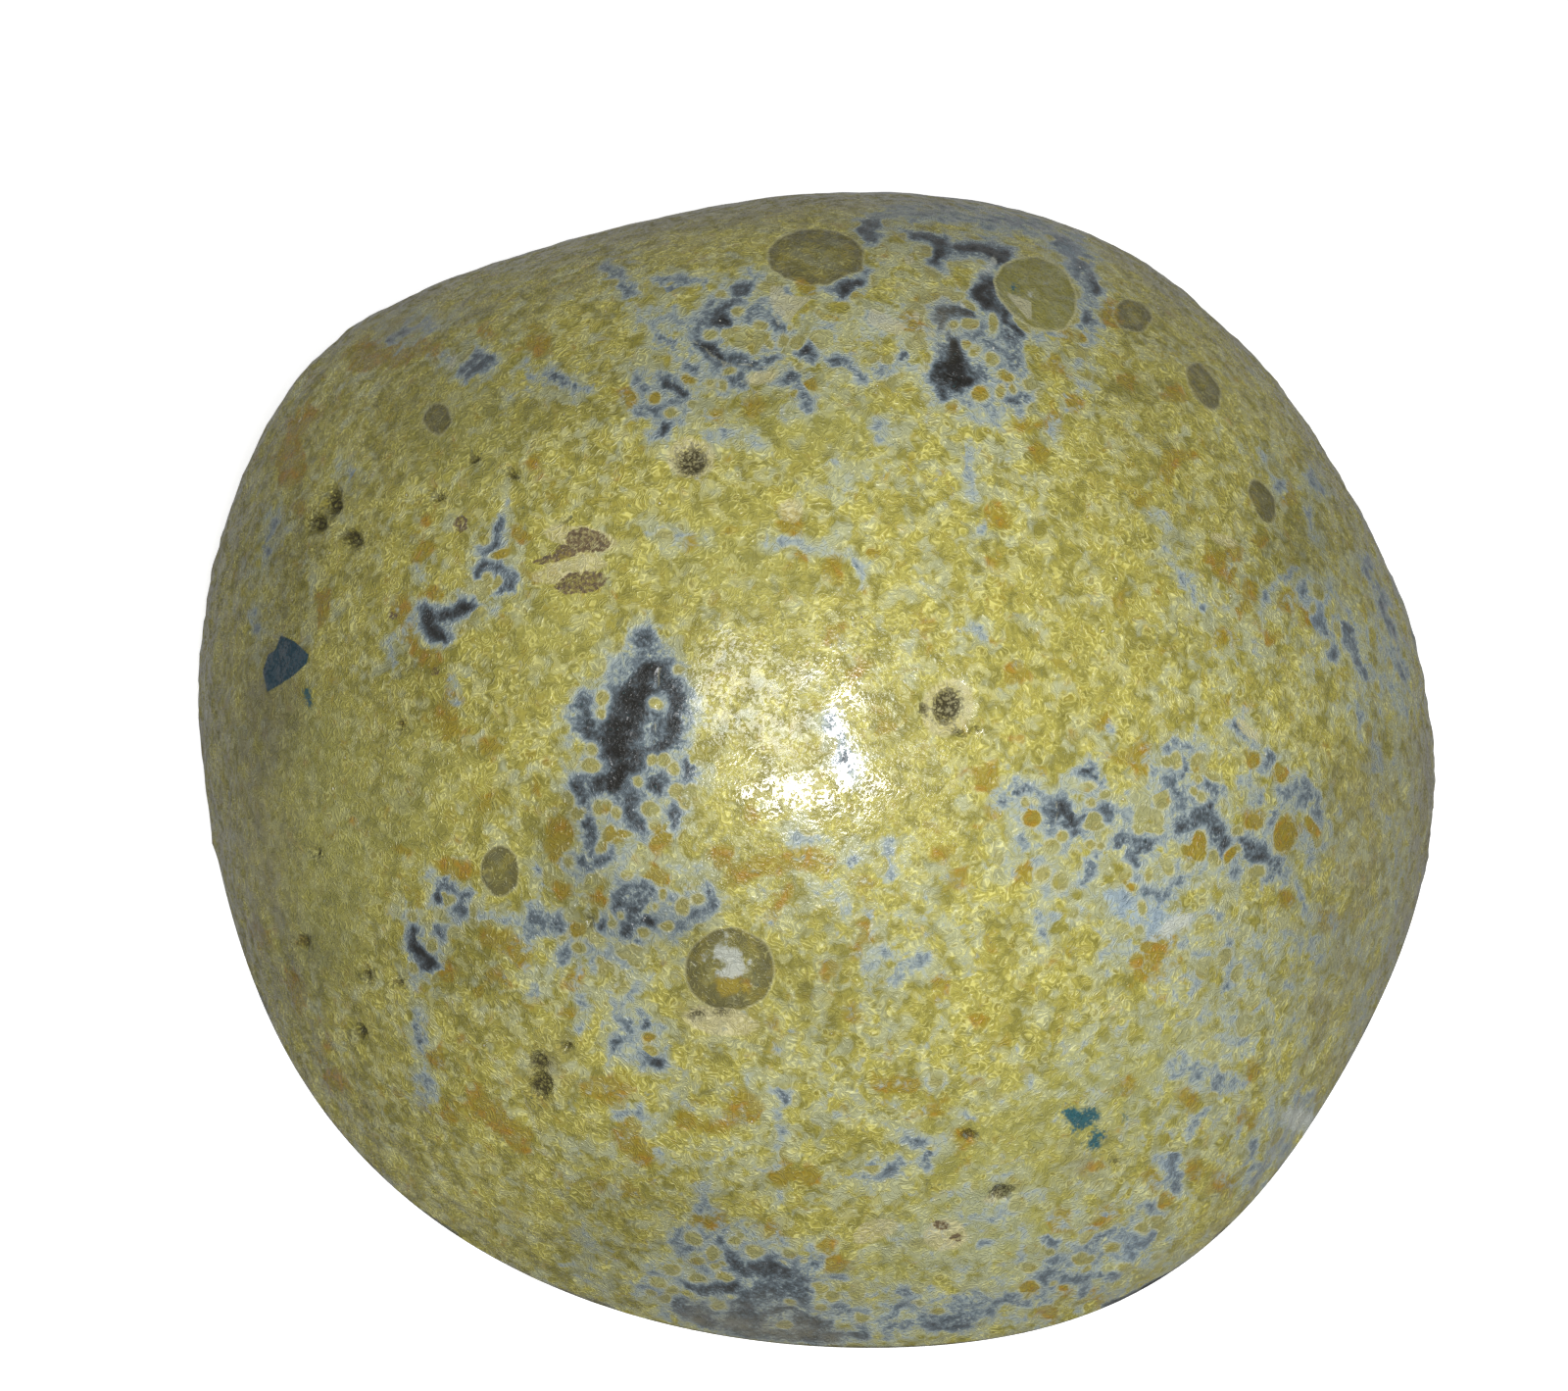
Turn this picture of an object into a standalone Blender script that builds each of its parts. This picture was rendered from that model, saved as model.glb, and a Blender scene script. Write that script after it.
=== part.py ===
"""Half of an agate nodule, sawn once and resting on its flat sawn face.

Metres, +Z up. The origin is the middle of the sawn face, +X runs along the
longest side, and -Y is the side where the rind meets the saw cut most gently.
"""
import math

import bmesh
import bpy
from mathutils import Vector

# Driving dimensions of the whole pebble before it was sawn.
HALF_WIDTH = 0.0503
HALF_DEPTH = 0.0497
HALF_HEIGHT = 0.0500

# The saw passes above the middle of the pebble, so a little less than half is left.
CUT_ABOVE_MIDDLE = 0.0050

# The pebble lay askew under the saw: its top sits further back than its base.
LEAN_BACK = 0.15

# Squares along each side of the cube that is rounded into the pebble.
SQUARES_PER_SIDE = 30

# Broad swellings (+) and flats (-) of the rind, seen from the pebble's middle:
# bearing from +X towards +Y and height above the horizon in degrees,
# how far the rind stands out in metres, and reach in degrees.
SWELLINGS = (
    (0, 8, 0.0018, 26),
    (55, 22, 0.0011, 24),
    (80, 26, -0.0006, 24),
    (104, 26, -0.0024, 24),
    (126, 22, 0.0007, 18),
    (143, 18, 0.0033, 16),  # the shoulder at the back left
    (163, 10, 0.0031, 22),
    (190, 5, -0.0006, 26),
    (248, 0, -0.0010, 26),
    (275, 0, -0.0010, 26),
    (302, 0, 0.0020, 24),  # the bulge at the front right
    (328, 2, -0.0008, 24),
)

NODULE_NAME = "nodule"


def direction_from_angles(bearing, height):
    bearing = math.radians(bearing)
    height = math.radians(height)
    level = math.cos(height)
    return Vector((level * math.cos(bearing), level * math.sin(bearing), math.sin(height)))


def evenly_spread(cube_point):
    """Direction from the middle to a point of the cube, with squares of like size."""
    return Vector(math.tan(part * math.pi / 4) for part in cube_point).normalized()


def rind_point(direction, swellings):
    """Where the rind lies in this direction, before the saw cut."""
    point = Vector((
        direction.x * HALF_WIDTH,
        direction.y * HALF_DEPTH,
        direction.z * HALF_HEIGHT,
    ))
    for centre, rise, reach in swellings:
        away = direction.angle(centre) / reach
        point += direction * (rise * math.exp(-away * away))
    point.z -= CUT_ABOVE_MIDDLE
    point.y += LEAN_BACK * point.z
    return point


def make_nodule():
    swellings = [
        (direction_from_angles(bearing, height), rise, math.radians(reach))
        for bearing, height, rise, reach in SWELLINGS
    ]
    bm = bmesh.new()
    bmesh.ops.create_cube(bm, size=2.0)
    bmesh.ops.subdivide_edges(bm, edges=bm.edges[:], cuts=SQUARES_PER_SIDE - 1, use_grid_fill=True)
    for vert in bm.verts:
        vert.co = rind_point(evenly_spread(vert.co), swellings)

    # The saw cut: everything under Z = 0 goes, and the opening is closed flat.
    cut = bmesh.ops.bisect_plane(
        bm,
        geom=bm.verts[:] + bm.edges[:] + bm.faces[:],
        dist=0.0001,
        plane_co=(0, 0, 0),
        plane_no=(0, 0, -1),
        clear_outer=True,
    )
    rim = [piece for piece in cut["geom_cut"] if isinstance(piece, bmesh.types.BMEdge)]
    for edge in rim:
        for vert in edge.verts:
            vert.co.z = 0.0
    bmesh.ops.edgeloop_fill(bm, edges=rim)
    bmesh.ops.recalc_face_normals(bm, faces=bm.faces[:])

    mesh = bpy.data.meshes.new(NODULE_NAME)
    bm.to_mesh(mesh)
    bm.free()
    mesh.shade_smooth()
    mesh.set_sharp_from_angle(angle=math.radians(40))
    return bpy.data.objects.new(NODULE_NAME, mesh)


def make_stone_material():
    material = bpy.data.materials.new("agate_stone")
    material.use_nodes = True
    shader = material.node_tree.nodes["Principled BSDF"]
    shader.inputs["Base Color"].default_value = (0.36, 0.33, 0.12, 1.0)
    shader.inputs["Roughness"].default_value = 0.35
    shader.inputs["Metallic"].default_value = 0.0
    return material


def main():
    for old in list(bpy.data.objects):
        bpy.data.objects.remove(old, do_unlink=True)

    collection = bpy.data.collections.new("half_agate_nodule")
    bpy.context.scene.collection.children.link(collection)

    nodule = make_nodule()
    nodule.data.materials.append(make_stone_material())
    collection.objects.link(nodule)


main()
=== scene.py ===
import math

import bmesh
import bpy
import numpy as np
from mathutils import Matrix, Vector, noise


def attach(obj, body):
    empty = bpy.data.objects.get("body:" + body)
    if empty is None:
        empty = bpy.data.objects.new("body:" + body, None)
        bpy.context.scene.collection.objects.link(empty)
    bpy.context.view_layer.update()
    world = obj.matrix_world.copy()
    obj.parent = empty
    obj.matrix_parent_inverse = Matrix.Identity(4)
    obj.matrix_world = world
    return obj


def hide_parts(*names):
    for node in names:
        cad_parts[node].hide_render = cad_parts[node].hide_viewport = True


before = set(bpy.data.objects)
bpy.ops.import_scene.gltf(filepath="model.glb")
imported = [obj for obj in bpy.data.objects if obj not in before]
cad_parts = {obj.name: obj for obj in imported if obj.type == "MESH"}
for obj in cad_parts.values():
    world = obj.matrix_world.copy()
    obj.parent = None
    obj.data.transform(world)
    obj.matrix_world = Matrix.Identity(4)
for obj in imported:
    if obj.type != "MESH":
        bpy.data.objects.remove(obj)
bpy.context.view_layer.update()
scene = bpy.context.scene
mm = 0.001
noise.seed_set(5)   # the edges of the marks come out the same each run


# Camera: it looks down on the dome from the front, as the photograph does.
camera = {
    "elevation": 68.0,
    "distance": 0.320,
    "lookAt": (-0.0026, 0.0024, 0.0120),
    "lens": 90.4,
    "sensor": 36.0,
    "photoWide": 1600,
    "photoHigh": 1419,
    "nearest": 0.01,
    "farthest": 20.0,
}


def cameraAxes():
    lift = math.radians(camera["elevation"])
    right = Vector((1.0, 0.0, 0.0))
    back = Vector((0.0, -math.cos(lift), math.sin(lift)))
    place = Vector(camera["lookAt"]) + back * camera["distance"]
    return place, right, back.cross(right), back


def makeCamera():
    place, right, up, back = cameraAxes()
    data = bpy.data.cameras.new("camera")
    data.lens = camera["lens"]
    data.sensor_width = camera["sensor"]
    data.clip_start = camera["nearest"]
    data.clip_end = camera["farthest"]
    holder = bpy.data.objects.new("camera", data)
    holder.location = place
    holder.rotation_euler = (-back).to_track_quat("-Z", "Y").to_euler()
    scene.collection.objects.link(holder)
    scene.camera = holder


def photoPlaces(points):
    # where points of the stone lie in the photograph, in its pixels from the top left
    place, right, up, back = (np.array(axis) for axis in cameraAxes())
    away = points - place
    depth = -(away @ back)
    perMetre = camera["lens"] / camera["sensor"] * camera["photoWide"] / depth
    across = camera["photoWide"] / 2 + (away @ right) * perMetre
    down = camera["photoHigh"] / 2 - (away @ up) * perMetre
    return np.stack([across, down], axis=1)


makeCamera()
print("camera made")


# Markings. Places and radii are pixels of the 1600 x 1419 photograph. A patch of clear silica is drawn
# in strokes: how deep the silica goes, then points (x, y, radius) along the stroke. Depth 0.45 is a
# pale haze, 0.6 blue-grey, 0.8 slate and 1.1 nearly black.
silicaStrokes = {
    "middle patch": (
        (0.70, (700, 760, 9)), (0.50, (580, 760, 8)),
        (0.72, (510, 540, 7), (500, 560, 10), (508, 585, 11), (520, 600, 8)),
        (1.20, (666, 684, 11), (657, 700, 17), (646, 722, 20), (634, 745, 22), (628, 765, 20),
         (632, 785, 14), (621, 803, 8)),
        (1.02, (676, 690, 12), (688, 702, 10), (690, 735, 11), (686, 753, 13), (668, 764, 10),
         (650, 775, 16), (645, 790, 10)),
        (0.98, (668, 803, 11)), (0.98, (612, 803, 10)), (0.90, (590, 802, 9), (594, 826, 7)),
        (0.90, (600, 838, 8), (608, 850, 6)), (0.90, (686, 828, 8), (692, 845, 5)),
        (0.88, (703, 785, 10), (702, 796, 7)), (0.85, (640, 815, 9), (648, 835, 8), (655, 848, 6)),
        (0.80, (600, 745, 12), (590, 742, 9)), (0.82, (655, 655, 9), (662, 665, 8)),
        (0.70, (670, 730, 13), (667, 745, 13), (668, 758, 9)),
        (0.68, (656, 652, 13), (664, 672, 22), (680, 700, 24), (695, 735, 14)),
        (0.68, (600, 712, 14), (598, 735, 20), (612, 770, 18), (608, 800, 24)),
        (0.68, (640, 820, 30), (645, 845, 16)), (0.68, (682, 790, 28), (702, 790, 14), (690, 830, 15)),
        (0.66, (604, 850, 12), (606, 872, 14), (596, 880, 9), (616, 878, 8)),
        (0.46, (655, 655, 22), (640, 700, 46), (612, 750, 38), (640, 800, 64), (694, 790, 28)),
        (0.44, (620, 865, 24)),
    ),
    "patch below the middle": (
        (0.95, (650, 925, 9)), (0.92, (640, 945, 9), (636, 952, 6)), (1.05, (661, 937, 7), (668, 943, 4)),
        (0.80, (635, 925, 14), (650, 935, 16)), (0.80, (648, 960, 5)),
        (0.66, (635, 910, 14), (660, 910, 16), (680, 915, 10)), (0.66, (615, 945, 9), (620, 935, 8)),
        (0.62, (690, 945, 11), (700, 938, 12), (712, 930, 9), (726, 918, 10), (724, 905, 7)),
        (0.86, (727, 921, 4), (725, 908, 4)), (0.84, (618, 948, 4), (610, 940, 4)),
        (0.46, (640, 930, 34), (700, 930, 26), (726, 915, 14)),
        (0.62, (566, 938, 8), (572, 948, 8), (578, 965, 10), (575, 975, 8)),
        (0.76, (568, 940, 4), (573, 947, 3)),
        (0.46, (575, 960, 20), (600, 975, 18), (640, 988, 16), (632, 1005, 12)), (0.62, (628, 1006, 6)),
        (0.52, (630, 1060, 14), (645, 1050, 16), (660, 1045, 12)), (0.52, (632, 1070, 11)),
        (0.82, (658, 1045, 6)), (0.80, (670, 1082, 6), (664, 1080, 4)), (0.67, (630, 1070, 7)),
        (0.46, (640, 1052, 27), (668, 1052, 18), (670, 1080, 14)), (0.42, (548, 885, 10), (562, 902, 10)),
        (0.42, (585, 880, 12), (596, 905, 9)), (0.44, (590, 1020, 9), (597, 1035, 8), (592, 1048, 6)),
    ),
    "left patch": (
        (1.12, (434, 625, 5), (440, 635, 8), (448, 645, 8), (453, 650, 5)),
        (1.05, (452, 630, 7), (464, 624, 7), (472, 617, 9), (482, 616, 6)),
        (0.74, (432, 622, 8), (442, 636, 14), (458, 630, 12), (475, 620, 12)),
        (0.46, (430, 630, 14), (455, 638, 20), (480, 622, 16), (500, 612, 10)),
        (0.98, (506, 554, 5), (500, 559, 4)), (0.95, (494, 570, 5), (488, 582, 5)),
        (0.84, (515, 597, 7), (507, 605, 6)), (0.64, (512, 535, 6), (505, 555, 9), (490, 578, 10)),
        (0.64, (506, 580, 9), (520, 590, 12), (508, 602, 12)),
        (0.44, (515, 520, 5), (514, 535, 8), (495, 565, 15), (518, 590, 18), (505, 608, 13)),
        (0.44, (398, 660, 12), (405, 675, 9)), (0.42, (424, 580, 8)),
        (0.40, (463, 690, 6), (468, 720, 6)),
    ),
    "lower left patch": (
        (0.80, (448, 903, 6), (458, 906, 6)), (0.96, (444, 912, 5), (450, 918, 4)),
        (0.74, (462, 910, 8), (475, 912, 6)),
        (1.08, (424, 946, 5), (425, 956, 5), (423, 963, 6), (430, 970, 8), (438, 980, 7), (434, 988, 6)),
        (0.74, (424, 950, 9), (430, 975, 12), (436, 988, 9)),
        (0.46, (424, 940, 14), (430, 978, 17), (430, 1002, 8)),
        (0.60, (445, 905, 13), (465, 905, 12), (475, 930, 12)), (0.60, (450, 950, 9), (454, 955, 7)),
        (0.45, (450, 910, 23), (475, 935, 20), (510, 936, 12)), (0.62, (426, 1048, 5), (428, 1062, 4)),
        (0.85, (429, 1060, 3)), (0.46, (424, 1036, 6), (426, 1062, 7), (436, 1085, 6)),
        (0.58, (545, 935, 12), (540, 950, 12), (560, 936, 10)),
        (0.45, (540, 945, 20), (565, 940, 16), (585, 975, 12)), (0.42, (432, 1104, 12), (440, 1120, 9)),
    ),
    "back right patch": (
        (1.00, (1010, 290, 4), (1013, 306, 5), (1026, 326, 5), (1044, 340, 4)),
        (1.35, (974, 352, 7), (972, 372, 14), (980, 388, 12), (990, 392, 7)), (1.20, (966, 382, 13)),
        (1.05, (957, 375, 9), (955, 385, 9)), (0.92, (962, 405, 6), (958, 395, 7)),
        (1.25, (1007, 293, 6), (999, 298, 6), (1004, 305, 6), (1010, 313, 7), (1016, 320, 5)),
        (1.00, (962, 318, 5), (975, 318, 4), (990, 318, 5)), (0.98, (962, 326, 5), (958, 332, 5)),
        (1.20, (958, 248, 6), (960, 258, 7), (957, 266, 5)),
        (1.15, (975, 250, 5), (990, 254, 5), (1005, 256, 5), (1018, 262, 6), (1026, 262, 4)),
        (0.85, (950, 243, 7), (930, 240, 5)), (0.82, (895, 230, 8), (880, 232, 6), (888, 242, 6)),
        (0.68, (965, 370, 24), (985, 395, 20), (1000, 380, 16)), (0.68, (1000, 300, 14), (1012, 318, 12)),
        (0.66, (955, 325, 13), (985, 320, 10)), (0.68, (960, 255, 12), (1000, 257, 9)),
        (0.78, (1025, 338, 6), (1032, 350, 7)), (0.74, (1008, 385, 9), (1003, 378, 7)),
        (0.76, (1043, 410, 9), (1030, 412, 8)), (0.70, (1042, 380, 6)),
        (0.62, (1030, 350, 15), (1035, 375, 13), (1040, 410, 15)),
        (0.52, (1000, 340, 28), (1020, 360, 26), (1010, 400, 20), (1045, 400, 14)),
        (0.50, (1060, 345, 13)), (0.92, (1112, 283, 6), (1118, 296, 4)),
        (0.82, (1092, 255, 11), (1080, 245, 8), (1104, 268, 9)), (0.74, (1104, 330, 6), (1112, 318, 6)),
        (0.56, (1085, 250, 15), (1112, 290, 13), (1110, 320, 13), (1108, 350, 11), (1105, 365, 7)),
        (0.78, (922, 365, 5), (926, 358, 4)), (0.60, (920, 365, 9), (895, 375, 12), (905, 386, 10)),
        (0.45, (885, 385, 20), (925, 370, 18)), (0.45, (960, 325, 36), (975, 385, 42), (1010, 410, 30)),
        (0.50, (900, 215, 11), (960, 217, 11), (1040, 226, 10), (1080, 240, 9)),
        (0.40, (882, 330, 12), (905, 320, 9)), (0.46, (895, 436, 7), (900, 452, 6)),
        (0.44, (1020, 468, 7)), (0.42, (985, 455, 9), (992, 506, 6)),
        (0.42, (1084, 417, 9), (1070, 440, 7)), (0.42, (1002, 537, 8)), (0.42, (1105, 395, 14)),
    ),
    "back patch": (
        (1.02, (728, 328, 6), (738, 320, 8), (745, 328, 6)), (0.84, (742, 312, 12), (730, 325, 13)),
        (1.08, (718, 350, 5), (728, 358, 6), (734, 365, 4)), (0.88, (714, 348, 6), (725, 352, 7)),
        (0.80, (755, 297, 9), (765, 293, 6)), (0.66, (745, 305, 18), (735, 320, 19), (715, 345, 10)),
        (0.66, (725, 355, 10), (750, 365, 9), (765, 362, 9)),
        (0.56, (775, 310, 10), (770, 325, 12), (790, 335, 9)),
        (0.88, (790, 328, 4), (797, 334, 4), (800, 340, 3)), (0.88, (767, 375, 4), (775, 373, 4)),
        (0.76, (783, 366, 5), (788, 362, 4)), (0.92, (826, 357, 5), (822, 360, 4)),
        (0.62, (825, 355, 10), (828, 368, 8)), (0.74, (808, 388, 6), (815, 384, 5)),
        (0.60, (808, 390, 10), (820, 405, 8), (822, 415, 6)), (0.74, (856, 370, 5), (848, 372, 4)),
        (0.50, (855, 372, 10), (870, 375, 8)),
        (1.02, (872, 290, 5), (880, 288, 5), (862, 295, 6), (858, 300, 4)),
        (0.62, (868, 290, 12), (855, 298, 9)), (0.74, (676, 290, 7), (680, 284, 5)),
        (0.56, (672, 288, 12), (690, 290, 10), (715, 288, 8)), (0.62, (710, 375, 8), (705, 370, 6)),
        (0.96, (680, 395, 6), (690, 396, 6), (698, 400, 5)), (0.64, (688, 392, 12), (678, 385, 10)),
        (0.64, (660, 415, 10), (672, 420, 8)), (1.02, (676, 434, 5), (673, 440, 4)),
        (0.62, (675, 435, 10)), (0.70, (672, 350, 7), (682, 352, 6)),
        (0.76, (755, 385, 5), (758, 393, 4), (745, 383, 4)), (0.50, (675, 350, 12), (690, 360, 10)),
        (0.50, (650, 390, 12), (660, 410, 20), (680, 425, 20), (700, 395, 18)),
        (0.50, (750, 385, 12), (735, 395, 10)), (0.50, (885, 390, 10), (890, 380, 8)),
        (0.58, (632, 282, 11), (640, 300, 9), (622, 270, 8)), (0.88, (563, 387, 6)),
        (0.56, (575, 390, 10), (596, 398, 9)), (0.44, (720, 445, 9), (750, 440, 9), (776, 453, 8)),
        (0.40, (700, 330, 12), (690, 320, 10)), (0.46, (760, 275, 9), (800, 295, 10)),
        (0.44, (835, 330, 16)),
    ),
    "back left patch": (
        (0.66, (490, 362, 10), (475, 381, 9), (498, 369, 8)), (0.48, (447, 369, 9), (460, 362, 8)),
        (0.54, (429, 328, 11), (415, 335, 10), (398, 346, 9)), (0.84, (397, 345, 4)),
        (0.44, (360, 484, 9)), (0.48, (282, 524, 6), (278, 545, 6), (272, 560, 5)),
        (0.42, (256, 626, 7), (262, 640, 6)), (0.42, (530, 372, 10), (548, 384, 9)),
    ),
    "right network": (
        (0.74, (1035, 806, 5), (1045, 803, 5)), (0.85, (1023, 817, 4)),
        (0.52, (1030, 800, 12), (1060, 815, 12)), (0.97, (1082, 825, 6), (1088, 832, 7), (1094, 838, 7)),
        (0.92, (1086, 842, 5)), (0.90, (1102, 830, 5)),
        (0.77, (1066, 828, 9), (1075, 832, 9), (1070, 840, 6)), (0.70, (1085, 832, 16), (1075, 830, 13)),
        (0.68, (1100, 850, 7), (1090, 850, 8)), (0.88, (1108, 785, 4), (1115, 789, 4), (1121, 796, 4)),
        (0.58, (1114, 788, 11), (1122, 800, 10), (1125, 812, 11)),
        (0.62, (1128, 827, 13), (1112, 820, 11)), (0.86, (1138, 853, 4), (1140, 860, 4), (1137, 868, 4)),
        (0.85, (1165, 852, 4), (1168, 860, 5), (1172, 868, 4)), (0.83, (1160, 868, 4)),
        (0.60, (1140, 860, 12), (1152, 852, 8), (1168, 862, 13), (1180, 855, 11)),
        (0.68, (1108, 878, 5), (1112, 886, 4)), (0.72, (1157, 875, 4), (1160, 882, 4)),
        (0.50, (1120, 870, 9), (1110, 885, 10), (1105, 895, 8)), (0.81, (1210, 777, 4), (1208, 790, 5)),
        (0.62, (1208, 785, 8), (1198, 797, 10)), (0.50, (1185, 768, 9), (1200, 760, 12), (1215, 765, 8)),
        (0.64, (1195, 812, 13), (1225, 800, 11), (1240, 808, 9)), (0.77, (1207, 835, 9), (1200, 845, 8)),
        (0.87, (1222, 828, 5), (1232, 826, 6)), (0.83, (1242, 836, 5)),
        (0.83, (1235, 840, 7), (1242, 850, 8), (1245, 862, 7)), (0.70, (1225, 835, 20), (1205, 840, 13)),
        (0.70, (1240, 855, 13), (1243, 872, 8)), (0.90, (1268, 856, 4), (1270, 863, 5), (1275, 868, 5)),
        (0.85, (1286, 876, 5), (1280, 880, 4)), (0.79, (1300, 879, 4), (1302, 886, 3)),
        (0.64, (1268, 860, 10), (1278, 876, 12), (1300, 878, 9), (1296, 892, 9)),
        (0.70, (1295, 770, 6), (1293, 780, 5)), (0.75, (1261, 740, 4)),
        (0.54, (1265, 746, 9), (1280, 762, 9), (1295, 772, 10), (1290, 786, 7)),
        (0.54, (1318, 806, 13), (1335, 808, 12), (1325, 795, 10), (1345, 815, 7)),
        (0.56, (1300, 832, 9), (1308, 822, 7), (1295, 842, 7)),
        (0.50, (1132, 912, 8), (1140, 918, 10), (1145, 928, 9)), (0.66, (1144, 930, 4)),
        (0.66, (1170, 908, 9), (1185, 910, 10), (1190, 918, 7)),
        (0.52, (1182, 930, 9), (1175, 945, 9), (1178, 955, 7)),
        (0.40, (1190, 950, 9), (1208, 945, 10), (1212, 938, 6)), (0.42, (1146, 966, 9), (1158, 958, 6)),
        (0.42, (1180, 898, 13), (1150, 893, 9)), (0.48, (1060, 946, 7), (1062, 935, 10), (1074, 934, 8)),
        (0.46, (1092, 942, 8), (1105, 930, 6)),
        (0.50, (1258, 950, 8), (1256, 967, 8), (1260, 985, 10), (1252, 1000, 9), (1248, 1012, 6)),
        (0.46, (1328, 903, 7), (1330, 920, 6), (1333, 938, 9)), (0.44, (1240, 935, 9)),
        (0.44, (1130, 745, 7)), (0.42, (1020, 875, 10), (1030, 886, 8)),
        (0.42, (1205, 870, 7), (1206, 890, 8)), (0.42, (1282, 820, 9), (1270, 800, 9)),
    ),
    "network veil": (
        (0.54, (1030, 815, 20), (1080, 840, 26), (1120, 852, 24), (1165, 862, 20)),
        (0.55, (1190, 790, 22), (1215, 830, 30), (1245, 858, 26), (1285, 875, 22), (1315, 885, 15)),
        (0.52, (1145, 918, 22), (1178, 938, 20), (1205, 895, 16)),
        (0.50, (1178, 775, 14), (1215, 765, 20)), (0.50, (1320, 810, 24), (1345, 830, 14)),
        (0.47, (1255, 955, 14), (1256, 1005, 14)), (0.47, (1190, 1185, 16), (1200, 1210, 16)),
        (0.52, (1160, 1265, 24), (1110, 1290, 24), (1060, 1300, 22)),
        (0.50, (1000, 1330, 20), (950, 1345, 20)), (0.47, (1220, 1095, 22), (1255, 1105, 16)),
        (0.44, (1330, 1130, 24), (1310, 1170, 20), (1270, 1210, 14)),
        (0.44, (1080, 900, 18), (1040, 860, 14)),
    ),
    "right edge streaks": (
        (0.52, (1283, 455, 5), (1291, 467, 6), (1304, 493, 6)), (0.54, (1336, 486, 7), (1345, 500, 7)),
        (0.48, (1329, 522, 4), (1344, 551, 6)), (0.44, (1254, 579, 7)),
        (0.46, (1210, 591, 10), (1226, 620, 9)), (0.42, (1283, 631, 8), (1302, 587, 6), (1323, 583, 6)),
        (0.66, (1336, 612, 6), (1348, 625, 7), (1354, 642, 6)),
        (0.56, (1330, 603, 8), (1346, 628, 11), (1356, 648, 9), (1362, 668, 8)),
        (0.70, (1379, 646, 5), (1374, 638, 4)), (0.58, (1376, 645, 8), (1386, 665, 8), (1392, 690, 7)),
        (0.61, (1409, 618, 6), (1417, 633, 6), (1424, 655, 5)),
        (0.52, (1392, 570, 6), (1402, 592, 7), (1420, 640, 8), (1432, 690, 6)),
        (0.46, (1380, 720, 8), (1398, 740, 8), (1408, 780, 7)),
    ),
    "bottom patch": (
        (0.90, (775, 1292, 8), (790, 1295, 9), (802, 1298, 7)),
        (0.83, (745, 1285, 8), (755, 1290, 8), (766, 1300, 8)), (0.79, (736, 1268, 5), (743, 1273, 4)),
        (0.85, (700, 1308, 5), (716, 1315, 7), (735, 1312, 9), (746, 1308, 8)),
        (0.79, (770, 1315, 18), (800, 1318, 16), (822, 1322, 12)),
        (0.77, (760, 1328, 14), (742, 1325, 12)),
        (0.81, (690, 1330, 9), (720, 1336, 11), (760, 1342, 13), (800, 1345, 12), (840, 1352, 10)),
        (0.79, (700, 1343, 7), (740, 1352, 9), (790, 1358, 9), (840, 1364, 8), (880, 1366, 5)),
        (0.62, (718, 1290, 14), (760, 1300, 24), (815, 1295, 18), (835, 1282, 10)),
        (0.62, (850, 1335, 13), (880, 1352, 12)),
        (0.60, (910, 1355, 13), (932, 1350, 10), (990, 1342, 9)),
        (0.50, (700, 1270, 14), (735, 1262, 12), (765, 1268, 9)),
        (0.52, (665, 1293, 9), (658, 1310, 10), (672, 1318, 9)), (0.50, (830, 1275, 10)),
        (0.52, (925, 1325, 17), (905, 1342, 15)), (0.52, (960, 1347, 13), (1010, 1335, 13)),
        (0.46, (690, 1300, 30)),
    ),
    "lower spots": (
        (0.62, (802, 1118, 7), (794, 1108, 5)), (0.44, (654, 1126, 6), (652, 1140, 6), (631, 1136, 7)),
        (0.46, (723, 1190, 9), (716, 1228, 8), (700, 1240, 8)), (0.50, (672, 1174, 6)),
        (0.48, (914, 1128, 8)), (0.74, (932, 1160, 4)), (0.84, (947, 1177, 4), (943, 1182, 4)),
        (0.50, (935, 1165, 11), (945, 1178, 10)),
        (0.52, (899, 1192, 15), (880, 1205, 11), (915, 1185, 9)), (0.44, (790, 1220, 7), (795, 1140, 8)),
        (0.42, (1015, 1115, 9), (1018, 1125, 7)), (0.42, (1045, 1105, 10), (1035, 1120, 7)),
        (0.60, (985, 1206, 5)), (0.42, (858, 928, 9), (930, 985, 11), (945, 975, 8), (915, 1000, 7)),
        (0.42, (945, 1100, 8), (965, 1108, 8)), (0.42, (740, 1050, 6)),
    ),
    "highlight spots": (
        (0.62, (858, 780, 8), (855, 770, 7)),
        (0.56, (848, 733, 8), (855, 748, 7), (860, 768, 11), (862, 790, 8)),
        (0.42, (802, 852, 9), (838, 856, 8), (818, 846, 7)), (0.62, (876, 877, 8), (870, 880, 7)),
        (0.46, (912, 862, 7), (904, 895, 8), (908, 880, 6)),
        (0.40, (784, 555, 11), (865, 563, 5), (883, 591, 5)), (0.42, (865, 502, 8)),
        (0.50, (1000, 650, 9), (992, 638, 8)), (0.38, (661, 543, 9), (720, 550, 9)),
        (0.42, (967, 451, 8)),
    ),
    "lower right network": (
        (0.77, (1195, 1180, 5), (1196, 1190, 6), (1200, 1197, 5)),
        (0.59, (1195, 1185, 9), (1200, 1200, 8), (1198, 1214, 7)),
        (0.57, (1175, 1225, 8), (1182, 1240, 8)),
        (0.70, (1176, 1260, 7), (1165, 1268, 7), (1152, 1275, 6)),
        (0.55, (1180, 1255, 10), (1160, 1270, 11), (1155, 1285, 8)),
        (0.56, (1140, 1258, 8), (1125, 1265, 9), (1112, 1274, 8)),
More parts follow.
